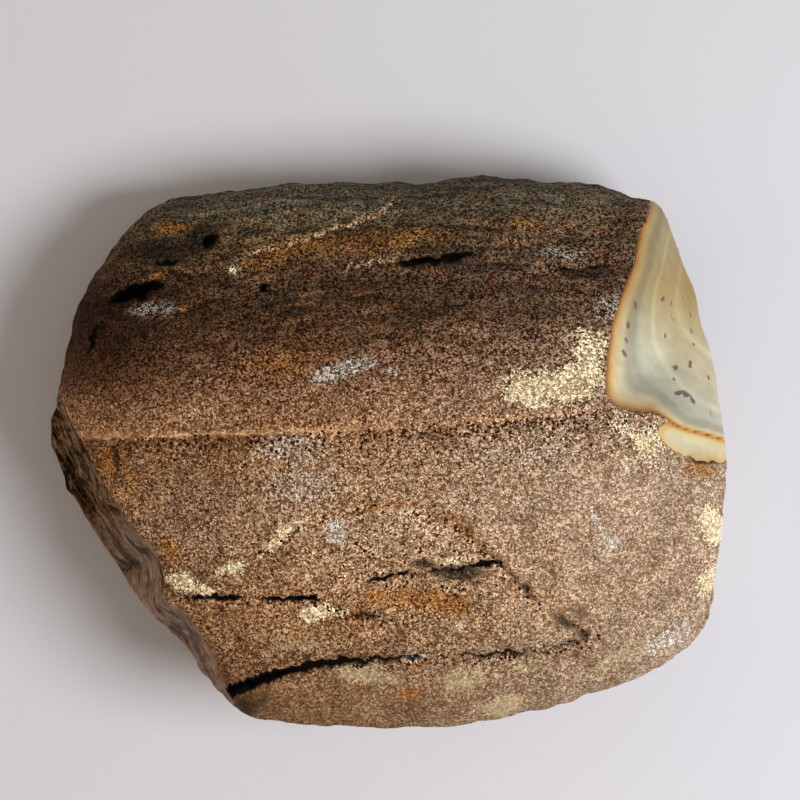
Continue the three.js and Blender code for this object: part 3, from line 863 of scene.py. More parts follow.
@dataclass(frozen=True)
class StoneMesh:
    """The stone's fine mesh, with what its finishes need to know at each point."""

    form: StoneForm = field(default_factory=StoneForm)
    stains: StainMap = field(default_factory=StainMap)
    weathering: Weathering = field(default_factory=Weathering)
    banding: BandLayout = field(default_factory=BandLayout)
    # The mesh is a cube cut this often, blown up round; it is finer on the upper side.
    cuts: int = 127
    crowding: float = 0.55
    table_steps: int = 400
    # Swells push away from a low heart, and fade out towards the ground.
    heart_spread: tuple[float, float, float] = (3, 3, 1)
    heart_z: float = 12.0
    settling_z: Span = (0.5, 8)
    side_place: Span = (1.1, 1.5)
    top_end_place: Span = (1.0, 1.12)
    flank_length: float = 70.0
    dark_depth: float = 1.3
    dark_rim: Span = (0.12, 0.34)
    lip_reach: float = 9.0
    lip_ends: float = 0.06
    # The fine relief, from broad to fine, and what only beds, breaks and veins have.
    broad: Grit = Grit(0.3, 5.5, 2, 3.0)
    middling: Grit = Grit(0.2, 2.0, 2, 19.0)
    fine: Grit = Grit(0.1, 0.95, 1, 5.0)
    beds: Grit = Grit(0.16, 1.5, 2, 31.0, (9, 1, 1))
    hackle: Grit = Grit(0.5, 3.4, 3, 71.0)
    veins: Grit = Grit(0.22, 1.3, 2, 13.0, (1, 9, 2.5))
    bedded_northing: Span = (8, 30)
    chip_rim: Span = (-0.1, 0.3)
    chip_smoothness: float = 0.93
    flank_rim: Span = (0, 1)
    flank_hackle: float = 0.8
    scoops_south: Span = (10, 15)
    scoop_smoothness: float = 0.45
    relief_foot: Span = (0, 2.5)
    specks: tuple[Oval, ...] = (
        Oval(45.7, 26.0, 0.5, 0.35, 20), Oval(47.3, 25.0, 0.3, 0.45), Oval(47.5, 22.8, 0.45, 0.4),
        Oval(50.8, 23.6, 0.3, 0.5, 20), Oval(50.9, 20.7, 0.35, 0.45),
        Oval(40.9, 24.8, 0.25, 0.9, 4), Oval(39.6, 21.4, 0.45, 0.6), Oval(39.3, 18.9, 0.3, 0.5, 30),
        Oval(38.9, 16.7, 0.35, 0.9, 35), Oval(47.8, 14.3, 0.6, 0.45, 30),
        Oval(50.4, 15.0, 0.4, 0.7, -20), Oval(47.5, 12.3, 0.5, 0.3, -20),
        Oval(48.0, 10.1, 0.8, 0.45, 10), Oval(49.3, 10.0, 0.75, 0.5, -10),
        Oval(50.4, 8.9, 0.35, 0.8, 25), Oval(53.4, 6.9, 0.35, 0.4), Oval(51.3, 18.2, 0.3, 0.3),
        Oval(52.6, 18.4, 0.35, 0.3), Oval(53.6, 12.9, 0.3, 0.5), Oval(46.2, 19.8, 0.25, 0.25),
        Oval(49.4, 26.6, 0.25, 0.25),
    )

    def directions(self, mesh: bmesh.types.BMesh) -> np.ndarray:
        """Spreads a cut-up cube's corners evenly round a ball, one direction a row."""
        corners = np.array([v.co for v in mesh.verts])
        spread = np.tan(corners * math.pi / 4)
        return spread / np.linalg.norm(spread, axis=1)[:, None]

    def coarse(self, directions: np.ndarray) -> tuple[np.ndarray, np.ndarray, np.ndarray]:
        """Places the corners on the stone's main forms.

        Args:
            directions: One direction a corner.

        Returns:
            The points, the place of each along the skin, and how freshly broken each is.
        """
        turn = np.arctan2(directions[:, 1], directions[:, 0])
        fall = np.arccos(np.clip(directions[:, 2], -1, 1))
        share = np.arctan(self.crowding * np.tan(fall / 2)) * 2 / math.pi
        table = self.form.place_table(self.table_steps + 1)
        row = (turn / (2 * math.pi) * len(table)) % len(table)
        before = row.astype(int) % len(table)
        column = share * self.table_steps
        left = np.minimum(column.astype(int), self.table_steps - 1)
        place = np.zeros(len(turn))
        for rows, weight in ((before, 1 - row % 1), ((before + 1) % len(table), row % 1)):
            low = table[rows, left]
            place += weight * (low + (table[rows, left + 1] - low) * (column - left))
        points = self.form.skin(turn, place, self.form.top_height)
        above = place < 2
        outward = points / self.heart_spread - [0, 0, self.heart_z]
        outward /= np.linalg.norm(outward, axis=1)[:, None]
        settled = smoothstep(points[:, 2], *self.settling_z)
        gain = 1 + (self.form.side_swell - 1) * smoothstep(place, *self.side_place)
        swell = above * settled * gain * self.form.swell(points)
        points, fresh = self.form.trim(points + swell[:, None] * outward)
        points[:, 2] = np.maximum(points[:, 2], 0)
        return points, place, fresh

    def masks(
        self, points: np.ndarray, place: np.ndarray, fresh: np.ndarray
    ) -> dict[str, np.ndarray]:
        """Works out what the finishes need to know at each point.

        Args:
            points: Points in millimetres, one a row.
            place: The place of each along the skin, from 0 to 3.
            fresh: How freshly broken each is.

        Returns:
            One value a point, by the name that the finishes read.
        """
        x, y = points[:, 0], points[:, 1]
        torn_x, torn_y = self.form.ragged(x, y)
        northing = y - self.form.crest_line(x)
        flank, along = self.form.flank_edge.beside(x, y)
        chip = self.form.chip_edge.smoothly_right(x, y)
        scoop = self.form.low_scoop.inside(torn_x, torn_y)
        broken, band, neck = self.banding.on_top(x, y, chip, scoop)
        bared, side_band = self.banding.on_sides(points, fresh)
        pitted = np.maximum(self.weathering.pitted(x, y, northing), self.crumbs(x, y))
        top = 1 - smoothstep(place, *self.top_end_place)
        side = 1 - top
        masks = {
            "chip_mm": broken * top + bared * side,
            "band_mm": band * top + side_band * side,
            "neck": neck * top,
            "flank_mm": flank,
            "flank_along": along * self.flank_length,
            "northing_mm": northing,
            "umber": self.weathering.umber(x, northing) * top,
            "recess_shade": self.recess_shade(torn_x, torn_y) * top,
            "pitted": pitted * top,
            "worn": self.weathering.worn(x, y, northing) * top,
            "side": side,
            "specks": np.minimum(1, sum(s.inside(x, y) for s in self.specks)) * top,
            **self.lip_masks(torn_x, torn_y, top),
        }
        for stain in Stain:
            masks[stain.value] = self.stains.amount(stain, x, y) * top
        return masks

    def crumbs(self, x: np.ndarray, y: np.ndarray) -> np.ndarray:
        """How crumbled the stone is along the nearest lip."""
        return np.maximum.reduce([ledge.crumbs(x, y) for ledge in self.form.ledges.values()])

    def recess_shade(self, x: np.ndarray, y: np.ndarray) -> np.ndarray:
        """How deep each point lies in the cracks and pits, and so how much painted shade darkens
        it.
        """
        total = np.zeros(x.shape)
        for ledge in self.form.ledges.values():
            total += ledge.recess_shade * ledge.depth(x, y, self.form.lip) / self.dark_depth
        for hollow in self.form.hollows.values():
            total += hollow.recess_shade * smoothstep(hollow.oval.inside(x, y), *self.dark_rim)
        return total

    def lip_masks(self, x: np.ndarray, y: np.ndarray, top: np.ndarray) -> dict[str, np.ndarray]:
        """How far each point lies past the nearest pale lip, and how pale that lip is painted: pale
        crumbs and a painted highlight together.
        """
        past = np.full(x.shape, self.lip_reach)
        pale = np.zeros(x.shape)
        for ledge in self.form.ledges.values():
            if ledge.pale_lip_and_highlight:
                right, along = ledge.path.beside(x, y)
                closer = np.abs(right) < np.abs(past)
                past = np.where(closer, right, past)
                ends = smoothstep(np.minimum(along, 1 - along), 0, self.lip_ends)
                pale = np.where(closer, ledge.pale_lip_and_highlight * ends, pale)
        return {"lip_mm": past, "lip_pale_and_highlight": pale * top}

    def relief(self, points: np.ndarray, masks: dict[str, np.ndarray]) -> np.ndarray:
        """How far the fine relief lifts each point along its normal."""
        chip = smoothstep(masks["chip_mm"], *self.chip_rim)
        scooped = smoothstep(-points[:, 1], *self.scoops_south)
        flank = smoothstep(masks["flank_mm"], *self.flank_rim)
        flank = flank * (1 - self.scoop_smoothness * scooped)
        bedded = smoothstep(masks["northing_mm"], *self.bedded_northing)
        hackled = np.maximum(self.flank_hackle * flank, masks["side"])
        on_flank = np.stack([masks["flank_mm"], masks["flank_along"], points[:, 2]], -1)
        rough = self.broad.lift(points) + self.middling.lift(points) + self.fine.lift(points)
        rough = rough + self.beds.lift(points) * bedded + self.hackle.lift(points) * hackled
        rough = rough + self.veins.lift(on_flank) * flank
        return rough * (1 - self.chip_smoothness * chip)

    def build(self) -> tuple[bpy.types.Object, np.ndarray]:
        """Builds the stone.

        Returns:
            The object, and how far its middle was moved, in millimetres.
        """
        grid = bmesh.new()
        bmesh.ops.create_cube(grid, size=2)
        bmesh.ops.subdivide_edges(grid, edges=grid.edges[:], cuts=self.cuts, use_grid_fill=True)
        points, place, fresh = self.coarse(self.directions(grid))
        mesh = bpy.data.meshes.new("ribbon_stone")
        grid.to_mesh(mesh)
        grid.free()
        mesh.vertices.foreach_set("co", points.ravel())
        mesh.update()
        normals = np.array([n.vector for n in mesh.vertex_normals])
        masks = self.masks(points, place, fresh)
        lift = self.relief(points, masks) * smoothstep(points[:, 2], *self.relief_foot)
        points = points + lift[:, None] * normals
        points[:, 2] = np.maximum(points[:, 2], 0)
        middle = (points.min(0) + points.max(0)) / 2 * [1, 1, 0]
        mesh.vertices.foreach_set("co", ((points - middle) * MM).ravel())
        for name, values in masks.items():
            attribute = mesh.attributes.new(name, "FLOAT", "POINT")
            attribute.data.foreach_set("value", values.astype(np.float32))
        mesh.shade_smooth()
        mesh.update()
        stone = bpy.data.objects.new("ribbon_stone", mesh)
        bpy.context.scene.collection.objects.link(stone)
        return stone, middle


@dataclass(frozen=True)
class Surface:
    """What one finish gives the stone's shader; the height is in millimetres."""

    colour: bpy.types.NodeSocket
    height: bpy.types.NodeSocket
    roughness: float


@dataclass(frozen=True)
class StainLook:
    """How a stain looks: its colour, how it covers, and how clouds and sand grains tear its rim.

    A stain that coats the grains lets less of the sand's light and dark through.
    """

    colour: str
    cover: float
    soft: float
    cloudy: float
    grainy: float
    sand_shows: float = 1.0


@dataclass(frozen=True)
class SandyRind:
    """Sandy rind, weathered in the open and stained by iron.

    To the eye it is matt and granular: pale and dark sand grains with painted shade in the crevices
    between them, pin pits painted dark as shade with painted highlights on their rims, and brown
    tones that run along the bedding.
    """

    # Real grains of fine sand are about 0.15 mm across, which the picture can't show, so they
    # are drawn coarser.
    grain_mm: float = 0.27
    grain_jostle_mm: float = 0.7
    grain_contrast: float = 0.9
    north_contrast: float = 0.8
    north_contrast_span: Span = (4.0, 16.0)
    clump_mm: float = 0.55
    clump_contrast: float = 0.5
    bed_stretch: tuple[float, float, float] = (0.12, 1.0, 1.0)
    bed_mm: float = 1.5
    bed_shades: Span = (0.55, 1.45)
    bed_span: Span = (4.0, 20.0)
    crumb_mm: float = 1.5
    crumb_height: float = 1.2
    cloud_mm: float = 2.2
    pit_pitch_mm: float = 0.7
    pit_tear_mm: float = 0.5
    pit_tear_by_mm: float = 0.8
    # How much the pits' rims are brightened: a painted highlight.
    pit_rim_highlight: float = 0.6
    pit_depth: float = 0.5
    rust_mm: float = 3.2
    patch_mm: float = 4.5
    patch_shades: Span = (0.72, 1.28)
    blotch_mm: float = 9.0
    sway_mm: float = 5.0
    relief_mm: float = 0.5
    roughness: float = 0.95
    # Each band is a place north of the crest, in millimetres, and its tone.
    bands: tuple[tuple[float, str], ...] = (
        (-45, "96724e"), (-38, "a67d59"), (-30, "c29468"), (-14, "cfaa87"), (-3, "bb9069"),
        (-0.4, "a47a55"), (0.4, "c6946a"), (2.5, "b88b67"), (9, "9b7152"), (15, "735236"),
        (21, "553d27"), (27, "644b34"), (32, "725a39"), (37, "72674f"), (43, "605849"),
    )
    # What a dark, a middling and a light grain multiply the tone by.
    sand: tuple[tuple[float, Tint], ...] = (
        (0.1, (0.19, 0.075, 0.017)), (0.5, (0.96, 0.86, 0.68)), (0.9, (2.35, 2.7, 3.15)),
    )
    east_grey: str = "bfa68c"
    east_span: Span = (-20.0, 60.0)
    umber: Tint = (0.38, 0.31, 0.25)
    rust: str = "8a4f26"
    # The lips' colour: pale crumbs and a painted highlight.
    lip: str = "dcae80"
    # The pits' colour is painted shade.
    pit: str = "35200d"
    # The cracks' colour is painted shade, near black as in deep shadow.
    crack: str = "0d0805"
    stains: dict[Stain, StainLook] = field(default_factory=lambda: {
        Stain.PALE: StainLook("cdb48a", 0.8, 0.4, 1.9, 0.2, 0.45),
        Stain.OCHRE: StainLook("b0722e", 0.75, 0.45, 1.6, 0.3),
        Stain.CREAM: StainLook("fce4b6", 0.92, 0.3, 2.4, 0.45, 0.75),
        Stain.CHALK: StainLook("e0d8c8", 0.72, 0.55, 1.6, 0.35, 0.75),
        # Painted shade, not a stain.
        Stain.SOOT: StainLook("261d18", 0.8, 0.3, 1.6, 0.5),
    })
    stain_rim: float = 0.5

    def tones(self, tree: bpy.types.NodeTree, mm: bpy.types.NodeSocket) -> bpy.types.NodeSocket:
        """The broad tones that run along the bedding, greyer in the east and rusty in spots."""
        northing = add_node(tree, "Attribute", {"attribute_name": "northing_mm"})
        sway = add_node(tree, "TexNoise", {}, {
            "Vector": mm, "Scale": 1 / self.blotch_mm, "Detail": 3.0})
        shifted = add_node(tree, "Math", {"operation": "MULTIPLY_ADD"}, {
            0: sway.outputs["Fac"], 1: self.sway_mm, 2: northing.outputs["Fac"]})
        low = self.bands[0][0]
        span = self.bands[-1][0] - low
        start = low + self.sway_mm / 2
        share = add_node(tree, "MapRange", {}, {
            "Value": shifted.outputs[0], "From Min": start, "From Max": start + span})
        ramp = add_node(tree, "ValToRGB", {}, {"Fac": share.outputs["Result"]})
        set_stops(ramp.color_ramp, [((at - low) / span, linear(tone)) for at, tone in self.bands])
        parts = add_node(tree, "SeparateXYZ", {}, {0: mm})
        eastness = add_node(tree, "MapRange", {"interpolation_type": "SMOOTHSTEP"}, {
            "Value": parts.outputs["X"], "From Min": self.east_span[0],
            "From Max": self.east_span[1], "To Max": 0.8})
        southness = add_node(tree, "MapRange", {}, {
            "Value": northing.outputs["Fac"], "From Min": 18.0, "From Max": 4.0,
            "To Min": 0.12})
        greying = add_node(tree, "Math", {"operation": "MULTIPLY"}, {
            0: eastness.outputs["Result"], 1: southness.outputs["Result"]})
        greyed = add_node(tree, "Mix", {"data_type": "RGBA"}, {
            0: greying.outputs[0], 6: ramp.outputs["Color"], 7: linear(self.east_grey)})
        return greyed.outputs[2]

    def weathered(
        self, tree: bpy.types.NodeTree, mm: bpy.types.NodeSocket, colour: bpy.types.NodeSocket
    ) -> bpy.types.NodeSocket:
        """Rusts and darkens the tones in patches, and streaks the north face along its beds."""
        blotch = add_node(tree, "TexNoise", {}, {
            "Vector": mm, "Scale": 1 / self.rust_mm, "Detail": 4.0, "Roughness": 0.62})
        rusty = add_node(tree, "MapRange", {}, {
            "Value": blotch.outputs["Fac"], "From Min": 0.5, "From Max": 0.75, "To Max": 0.5})
        tinted = add_node(tree, "Mix", {"data_type": "RGBA"}, {
            0: rusty.outputs["Result"], 6: colour, 7: linear(self.rust)})
        patch = add_node(tree, "TexNoise", {}, {
            "Vector": mm, "Scale": 1 / self.patch_mm, "Detail": 5.0, "Roughness": 0.7})
        shade = add_node(tree, "MapRange", {}, {
            "Value": patch.outputs["Fac"], "From Min": 0.3, "From Max": 0.7,
            "To Min": self.patch_shades[0], "To Max": self.patch_shades[1]})
        beds = add_node(tree, "VectorMath", {"operation": "MULTIPLY"}, {0: mm, 1: self.bed_stretch})
        bed = add_node(tree, "TexNoise", {}, {
            "Vector": beds.outputs[0], "Scale": 1 / self.bed_mm, "Detail": 3.0})
        streak = add_node(tree, "MapRange", {}, {
            "Value": bed.outputs["Fac"], "From Min": 0.35, "From Max": 0.65,
            "To Min": self.bed_shades[0], "To Max": self.bed_shades[1]})
        northing = add_node(tree, "Attribute", {"attribute_name": "northing_mm"})
        northness = add_node(tree, "MapRange", {}, {
            "Value": northing.outputs["Fac"], "From Min": self.bed_span[0],
            "From Max": self.bed_span[1]})
        streaked = add_node(tree, "Mix", {"data_type": "FLOAT"}, {
            0: northness.outputs["Result"], 2: 1.0, 3: streak.outputs["Result"]})
        umber = add_node(tree, "Attribute", {"attribute_name": "umber"})
        dimmed = add_node(tree, "Mix", {"data_type": "RGBA", "blend_type": "MULTIPLY"}, {
            0: umber.outputs["Fac"], 6: tinted.outputs[2], 7: (*self.umber, 1)})
        value = add_node(tree, "Math", {"operation": "MULTIPLY"}, {
            0: shade.outputs["Result"], 1: streaked.outputs[0]})
        toned = add_node(tree, "VectorMath", {"operation": "SCALE"}, {
            0: dimmed.outputs[2], "Scale": value.outputs[0]})
        return toned.outputs[0]

    def stained(
        self,
        tree: bpy.types.NodeTree,
        mm: bpy.types.NodeSocket,
        colour: bpy.types.NodeSocket,
        grain: bpy.types.NodeSocket,
    ) -> tuple[bpy.types.NodeSocket, bpy.types.NodeSocket]:
        """Lays the stains and the patches of painted shade on the tones, with rims torn by clouds
        and by the sand grains.

        Args:
            tree: The material's node tree.
            mm: The place in millimetres.
            colour: The tones under the stains.
            grain: How light each sand grain is, round 0.5.

        Returns:
            The stained colour, and how much of the sand's light and dark shows through.
        """
        cloud = add_node(tree, "TexNoise", {}, {
            "Vector": mm, "Scale": 1 / self.cloud_mm, "Detail": 4.0, "Roughness": 0.65})
        shows: object = 1.0
        for stain, look in self.stains.items():
            amount = add_node(tree, "Attribute", {"attribute_name": stain.value})
            cloudy = add_node(tree, "Math", {"operation": "MULTIPLY_ADD"}, {
                0: cloud.outputs["Fac"], 1: look.cloudy, 2: amount.outputs["Fac"]})
            torn = add_node(tree, "Math", {"operation": "MULTIPLY_ADD"}, {
                0: grain, 1: look.grainy, 2: cloudy.outputs[0]})
            rim = self.stain_rim + 0.5 * (look.cloudy + look.grainy)
            mask = add_node(tree, "MapRange", {}, {
                "Value": torn.outputs[0], "From Min": rim - look.soft,
                "From Max": rim + look.soft, "To Max": look.cover})
            near = add_node(tree, "MapRange", {}, {
                "Value": amount.outputs["Fac"], "From Min": 0.02, "From Max": 0.3})
            kept = add_node(tree, "Math", {"operation": "MULTIPLY"}, {
                0: mask.outputs["Result"], 1: near.outputs["Result"]})
            laid = add_node(tree, "Mix", {"data_type": "RGBA"}, {
                0: kept.outputs[0], 6: colour, 7: linear(look.colour)})
            coated = add_node(tree, "Mix", {"data_type": "FLOAT"}, {
                0: kept.outputs[0], 2: shows, 3: look.sand_shows})
            colour, shows = laid.outputs[2], coated.outputs[0]
        return self.lips_with_highlight(tree, colour, cloud.outputs["Fac"], grain), shows

    def lips_with_highlight(
        self,
        tree: bpy.types.NodeTree,
        colour: bpy.types.NodeSocket,
        cloud: bpy.types.NodeSocket,
        grain: bpy.types.NodeSocket,
    ) -> bpy.types.NodeSocket:
        """Draws the pale lips of the split layers, wavering with the clouds; the pale is partly
        crumbs and partly a painted highlight.

        Args:
            tree: The material's node tree.
            colour: The stained colour.
            cloud: The clouds that tear the stains.
            grain: How light each sand grain is, round 0.5.

        Returns:
            The colour with the lips.
        """
        past = add_node(tree, "Attribute", {"attribute_name": "lip_mm"})
        pale = add_node(tree, "Attribute", {"attribute_name": "lip_pale_and_highlight"})
        wobble = add_node(tree, "Math", {"operation": "MULTIPLY_ADD"}, {
            0: cloud, 1: 1.6, 2: past.outputs["Fac"]})
        centred = add_node(tree, "Math", {"operation": "SUBTRACT"}, {0: wobble.outputs[0], 1: 0.6})
        apart = add_node(tree, "Math", {"operation": "ABSOLUTE"}, {0: centred.outputs[0]})
        off = add_node(tree, "Math", {"operation": "MULTIPLY"}, {0: apart.outputs[0], 1: 1.6})
        sparse = add_node(tree, "Math", {"operation": "MULTIPLY_ADD"}, {
            0: grain, 1: -0.5, 2: off.outputs[0]})
        near = add_node(tree, "MapRange", {}, {
            "Value": sparse.outputs[0], "From Min": 0.35, "From Max": -0.15})
        line = add_node(tree, "Math", {"operation": "MULTIPLY"}, {
            0: near.outputs["Result"], 1: pale.outputs["Fac"]})
        lined = add_node(tree, "Mix", {"data_type": "RGBA"}, {
            0: line.outputs[0], 6: colour, 7: linear(self.lip)})
        return lined.outputs[2]

    def pits(
        self, tree: bpy.types.NodeTree, mm: bpy.types.NodeSocket
    ) -> tuple[bpy.types.NodeSocket, bpy.types.NodeSocket]:
        """Scatters pin pits.

        Args:
            tree: The material's node tree.
            mm: The place in millimetres.

        Returns:
            How deep in a pit each point lies, which also paints shade there, and how far up a pit's
            rim, from 0 to 1, where a highlight is painted.
        """
        tear = add_node(tree, "TexNoise", {}, {
            "Vector": mm, "Scale": 1 / self.pit_tear_mm, "Detail": 2.0})
        torn = add_node(tree, "VectorMath", {"operation": "MULTIPLY_ADD"}, {
            0: tear.outputs["Color"], 1: (self.pit_tear_by_mm,) * 3, 2: mm})
        cells = add_node(tree, "TexVoronoi", {}, {
            "Vector": torn.outputs[0], "Scale": 1 / self.pit_pitch_mm})
        luck = add_node(tree, "SeparateColor", {}, {"Color": cells.outputs["Color"]})
        pitted = add_node(tree, "Attribute", {"attribute_name": "pitted"})
        spare = add_node(tree, "Math", {"operation": "SUBTRACT"}, {
            0: pitted.outputs["Fac"], 1: luck.outputs["Red"]})
        radius = add_node(tree, "MapRange", {}, {
            "Value": spare.outputs[0], "From Max": 0.7, "To Max": 0.56})
        inside = add_node(tree, "Math", {"operation": "SUBTRACT"}, {
            0: radius.outputs["Result"], 1: cells.outputs["Distance"]})
        deep = add_node(tree, "MapRange", {}, {
            "Value": inside.outputs[0], "From Min": 0.0, "From Max": 0.13})
        near = add_node(tree, "MapRange", {}, {
            "Value": inside.outputs[0], "From Min": -0.25, "From Max": -0.05})
        edge = add_node(tree, "Math", {"operation": "SUBTRACT", "use_clamp": True}, {
            0: near.outputs["Result"], 1: deep.outputs["Result"]})
        here = add_node(tree, "MapRange", {}, {
            "Value": radius.outputs["Result"], "From Min": 0.1, "From Max": 0.3})
        rim = add_node(tree, "Math", {"operation": "MULTIPLY"}, {
            0: edge.outputs[0], 1: here.outputs["Result"]})
        return deep.outputs["Result"], rim.outputs[0]

    def grains(
        self, tree: bpy.types.NodeTree, mm: bpy.types.NodeSocket
    ) -> tuple[bpy.types.NodeSocket, bpy.types.NodeSocket]:
        """Packs the sand grains, some in light and dark clumps.

        Args:
            tree: The material's node tree.
            mm: The place in millimetres.

        Returns:
            How light each grain is, round 0.5, and how far off its middle each point lies.
        """
        jostle = add_node(tree, "TexNoise", {}, {
            "Vector": mm, "Scale": 1 / self.clump_mm, "Detail": 1.0})
        packed = add_node(tree, "VectorMath", {"operation": "MULTIPLY_ADD"}, {
            0: jostle.outputs["Color"], 1: (self.grain_jostle_mm,) * 3, 2: mm})
        grains = add_node(tree, "TexVoronoi", {}, {
            "Vector": packed.outputs[0], "Scale": 1 / self.grain_mm})
        luck = add_node(tree, "SeparateColor", {}, {"Color": grains.outputs["Color"]})
        clumps = add_node(tree, "TexNoise", {}, {
            "Vector": mm, "Scale": 1 / self.clump_mm, "Detail": 2.0, "Roughness": 0.6})
        clumped = add_node(tree, "Math", {"operation": "MULTIPLY"}, {
            0: clumps.outputs["Fac"], 1: self.clump_contrast})
        mingled = add_node(tree, "Math", {"operation": "MULTIPLY_ADD"}, {
            0: luck.outputs["Red"], 1: self.grain_contrast, 2: clumped.outputs[0]})
        centred = add_node(tree, "Math", {"operation": "SUBTRACT"}, {
            0: mingled.outputs[0], 1: (self.grain_contrast + self.clump_contrast) / 2})
        northing = add_node(tree, "Attribute", {"attribute_name": "northing_mm"})
        contrast = add_node(tree, "MapRange", {}, {
            "Value": northing.outputs["Fac"], "From Min": self.north_contrast_span[0],
            "From Max": self.north_contrast_span[1], "To Min": 1.0,
            "To Max": 1 + self.north_contrast})
        grain = add_node(tree, "Math", {"operation": "MULTIPLY_ADD"}, {
            0: centred.outputs[0], 1: contrast.outputs["Result"], 2: 0.5})
        return grain.outputs[0], grains.outputs["Distance"]

    def surface(self, tree: bpy.types.NodeTree, mm: bpy.types.NodeSocket) -> Surface:
        """Adds the rind's nodes and returns its sockets."""
        grain, off_middle = self.grains(tree, mm)
        toned = self.weathered(tree, mm, self.tones(tree, mm))
        colour, shows = self.stained(tree, mm, toned, grain)
        sand = add_node(tree, "ValToRGB", {}, {"Fac": grain})
        set_stops(sand.color_ramp, [(at, (*tone, 1)) for at, tone in self.sand])
        worn = add_node(tree, "Attribute", {"attribute_name": "worn"})
        sandy = add_node(tree, "Math", {"operation": "SUBTRACT"}, {0: 1.0, 1: worn.outputs["Fac"]})
        shown = add_node(tree, "Math", {"operation": "MULTIPLY"}, {0: sandy.outputs[0], 1: shows})
        # Painted light and shade on each grain: lighter at its middle and darker in the crevices
        # round it.
        grain_light_and_shade = add_node(tree, "MapRange", {}, {
            "Value": off_middle, "From Min": 0.35, "From Max": 0.75,
            "To Min": 1.1, "To Max": 0.5})
        grain_tones_and_shade = add_node(tree, "VectorMath", {"operation": "SCALE"}, {
            0: sand.outputs["Color"], "Scale": grain_light_and_shade.outputs["Result"]})
        grained_and_shaded = add_node(tree, "Mix", {"data_type": "RGBA", "blend_type": "MULTIPLY"}, {
            0: shown.outputs[0], 6: colour, 7: grain_tones_and_shade.outputs[0]})
        # Pits: painted shade inside, and a painted highlight on the rim.
        pit, rim = self.pits(tree, mm)
        lit = add_node(tree, "Math", {"operation": "MULTIPLY_ADD"}, {
            0: rim, 1: self.pit_rim_highlight, 2: 1.0})
        rim_highlighted = add_node(tree, "VectorMath", {"operation": "SCALE"}, {
            0: grained_and_shaded.outputs[2], "Scale": lit.outputs[0]})
        pit_shaded = add_node(tree, "Mix", {"data_type": "RGBA"}, {
            0: pit, 6: rim_highlighted.outputs[0], 7: linear(self.pit)})
        # Painted shade: cracks and deep pits turn near black, as if in shadow.
        recess_shade = add_node(tree, "Attribute", {"attribute_name": "recess_shade"})
        dark = add_node(tree, "MapRange", {}, {
            "Value": recess_shade.outputs["Fac"], "From Min": 0.25, "From Max": 0.55})
        crack_shaded = add_node(tree, "Mix", {"data_type": "RGBA"}, {
            0: dark.outputs["Result"], 6: pit_shaded.outputs[2], 7: linear(self.crack)})
        crumbs = add_node(tree, "TexNoise", {}, {
            "Vector": mm, "Scale": 1 / self.crumb_mm, "Detail": 1.0})
        mound = add_node(tree, "MapRange", {}, {
            "Value": off_middle, "From Max": 0.65, "To Min": 0.4, "To Max": 0.0})
        sanded = add_node(tree, "Math", {"operation": "MULTIPLY_ADD"}, {
            0: crumbs.outputs["Fac"], 1: self.crumb_height, 2: mound.outputs["Result"]})
        sunk = add_node(tree, "Math", {"operation": "MULTIPLY_ADD"}, {
            0: pit, 1: -self.pit_depth, 2: sanded.outputs[0]})
        rough = add_node(tree, "Math", {"operation": "MULTIPLY"}, {
            0: sunk.outputs[0], 1: sandy.outputs[0]})
        height = add_node(tree, "Math", {"operation": "MULTIPLY"}, {
            0: rough.outputs[0], 1: self.relief_mm})
        return Surface(crack_shaded.outputs[2], height.outputs[0], self.roughness)


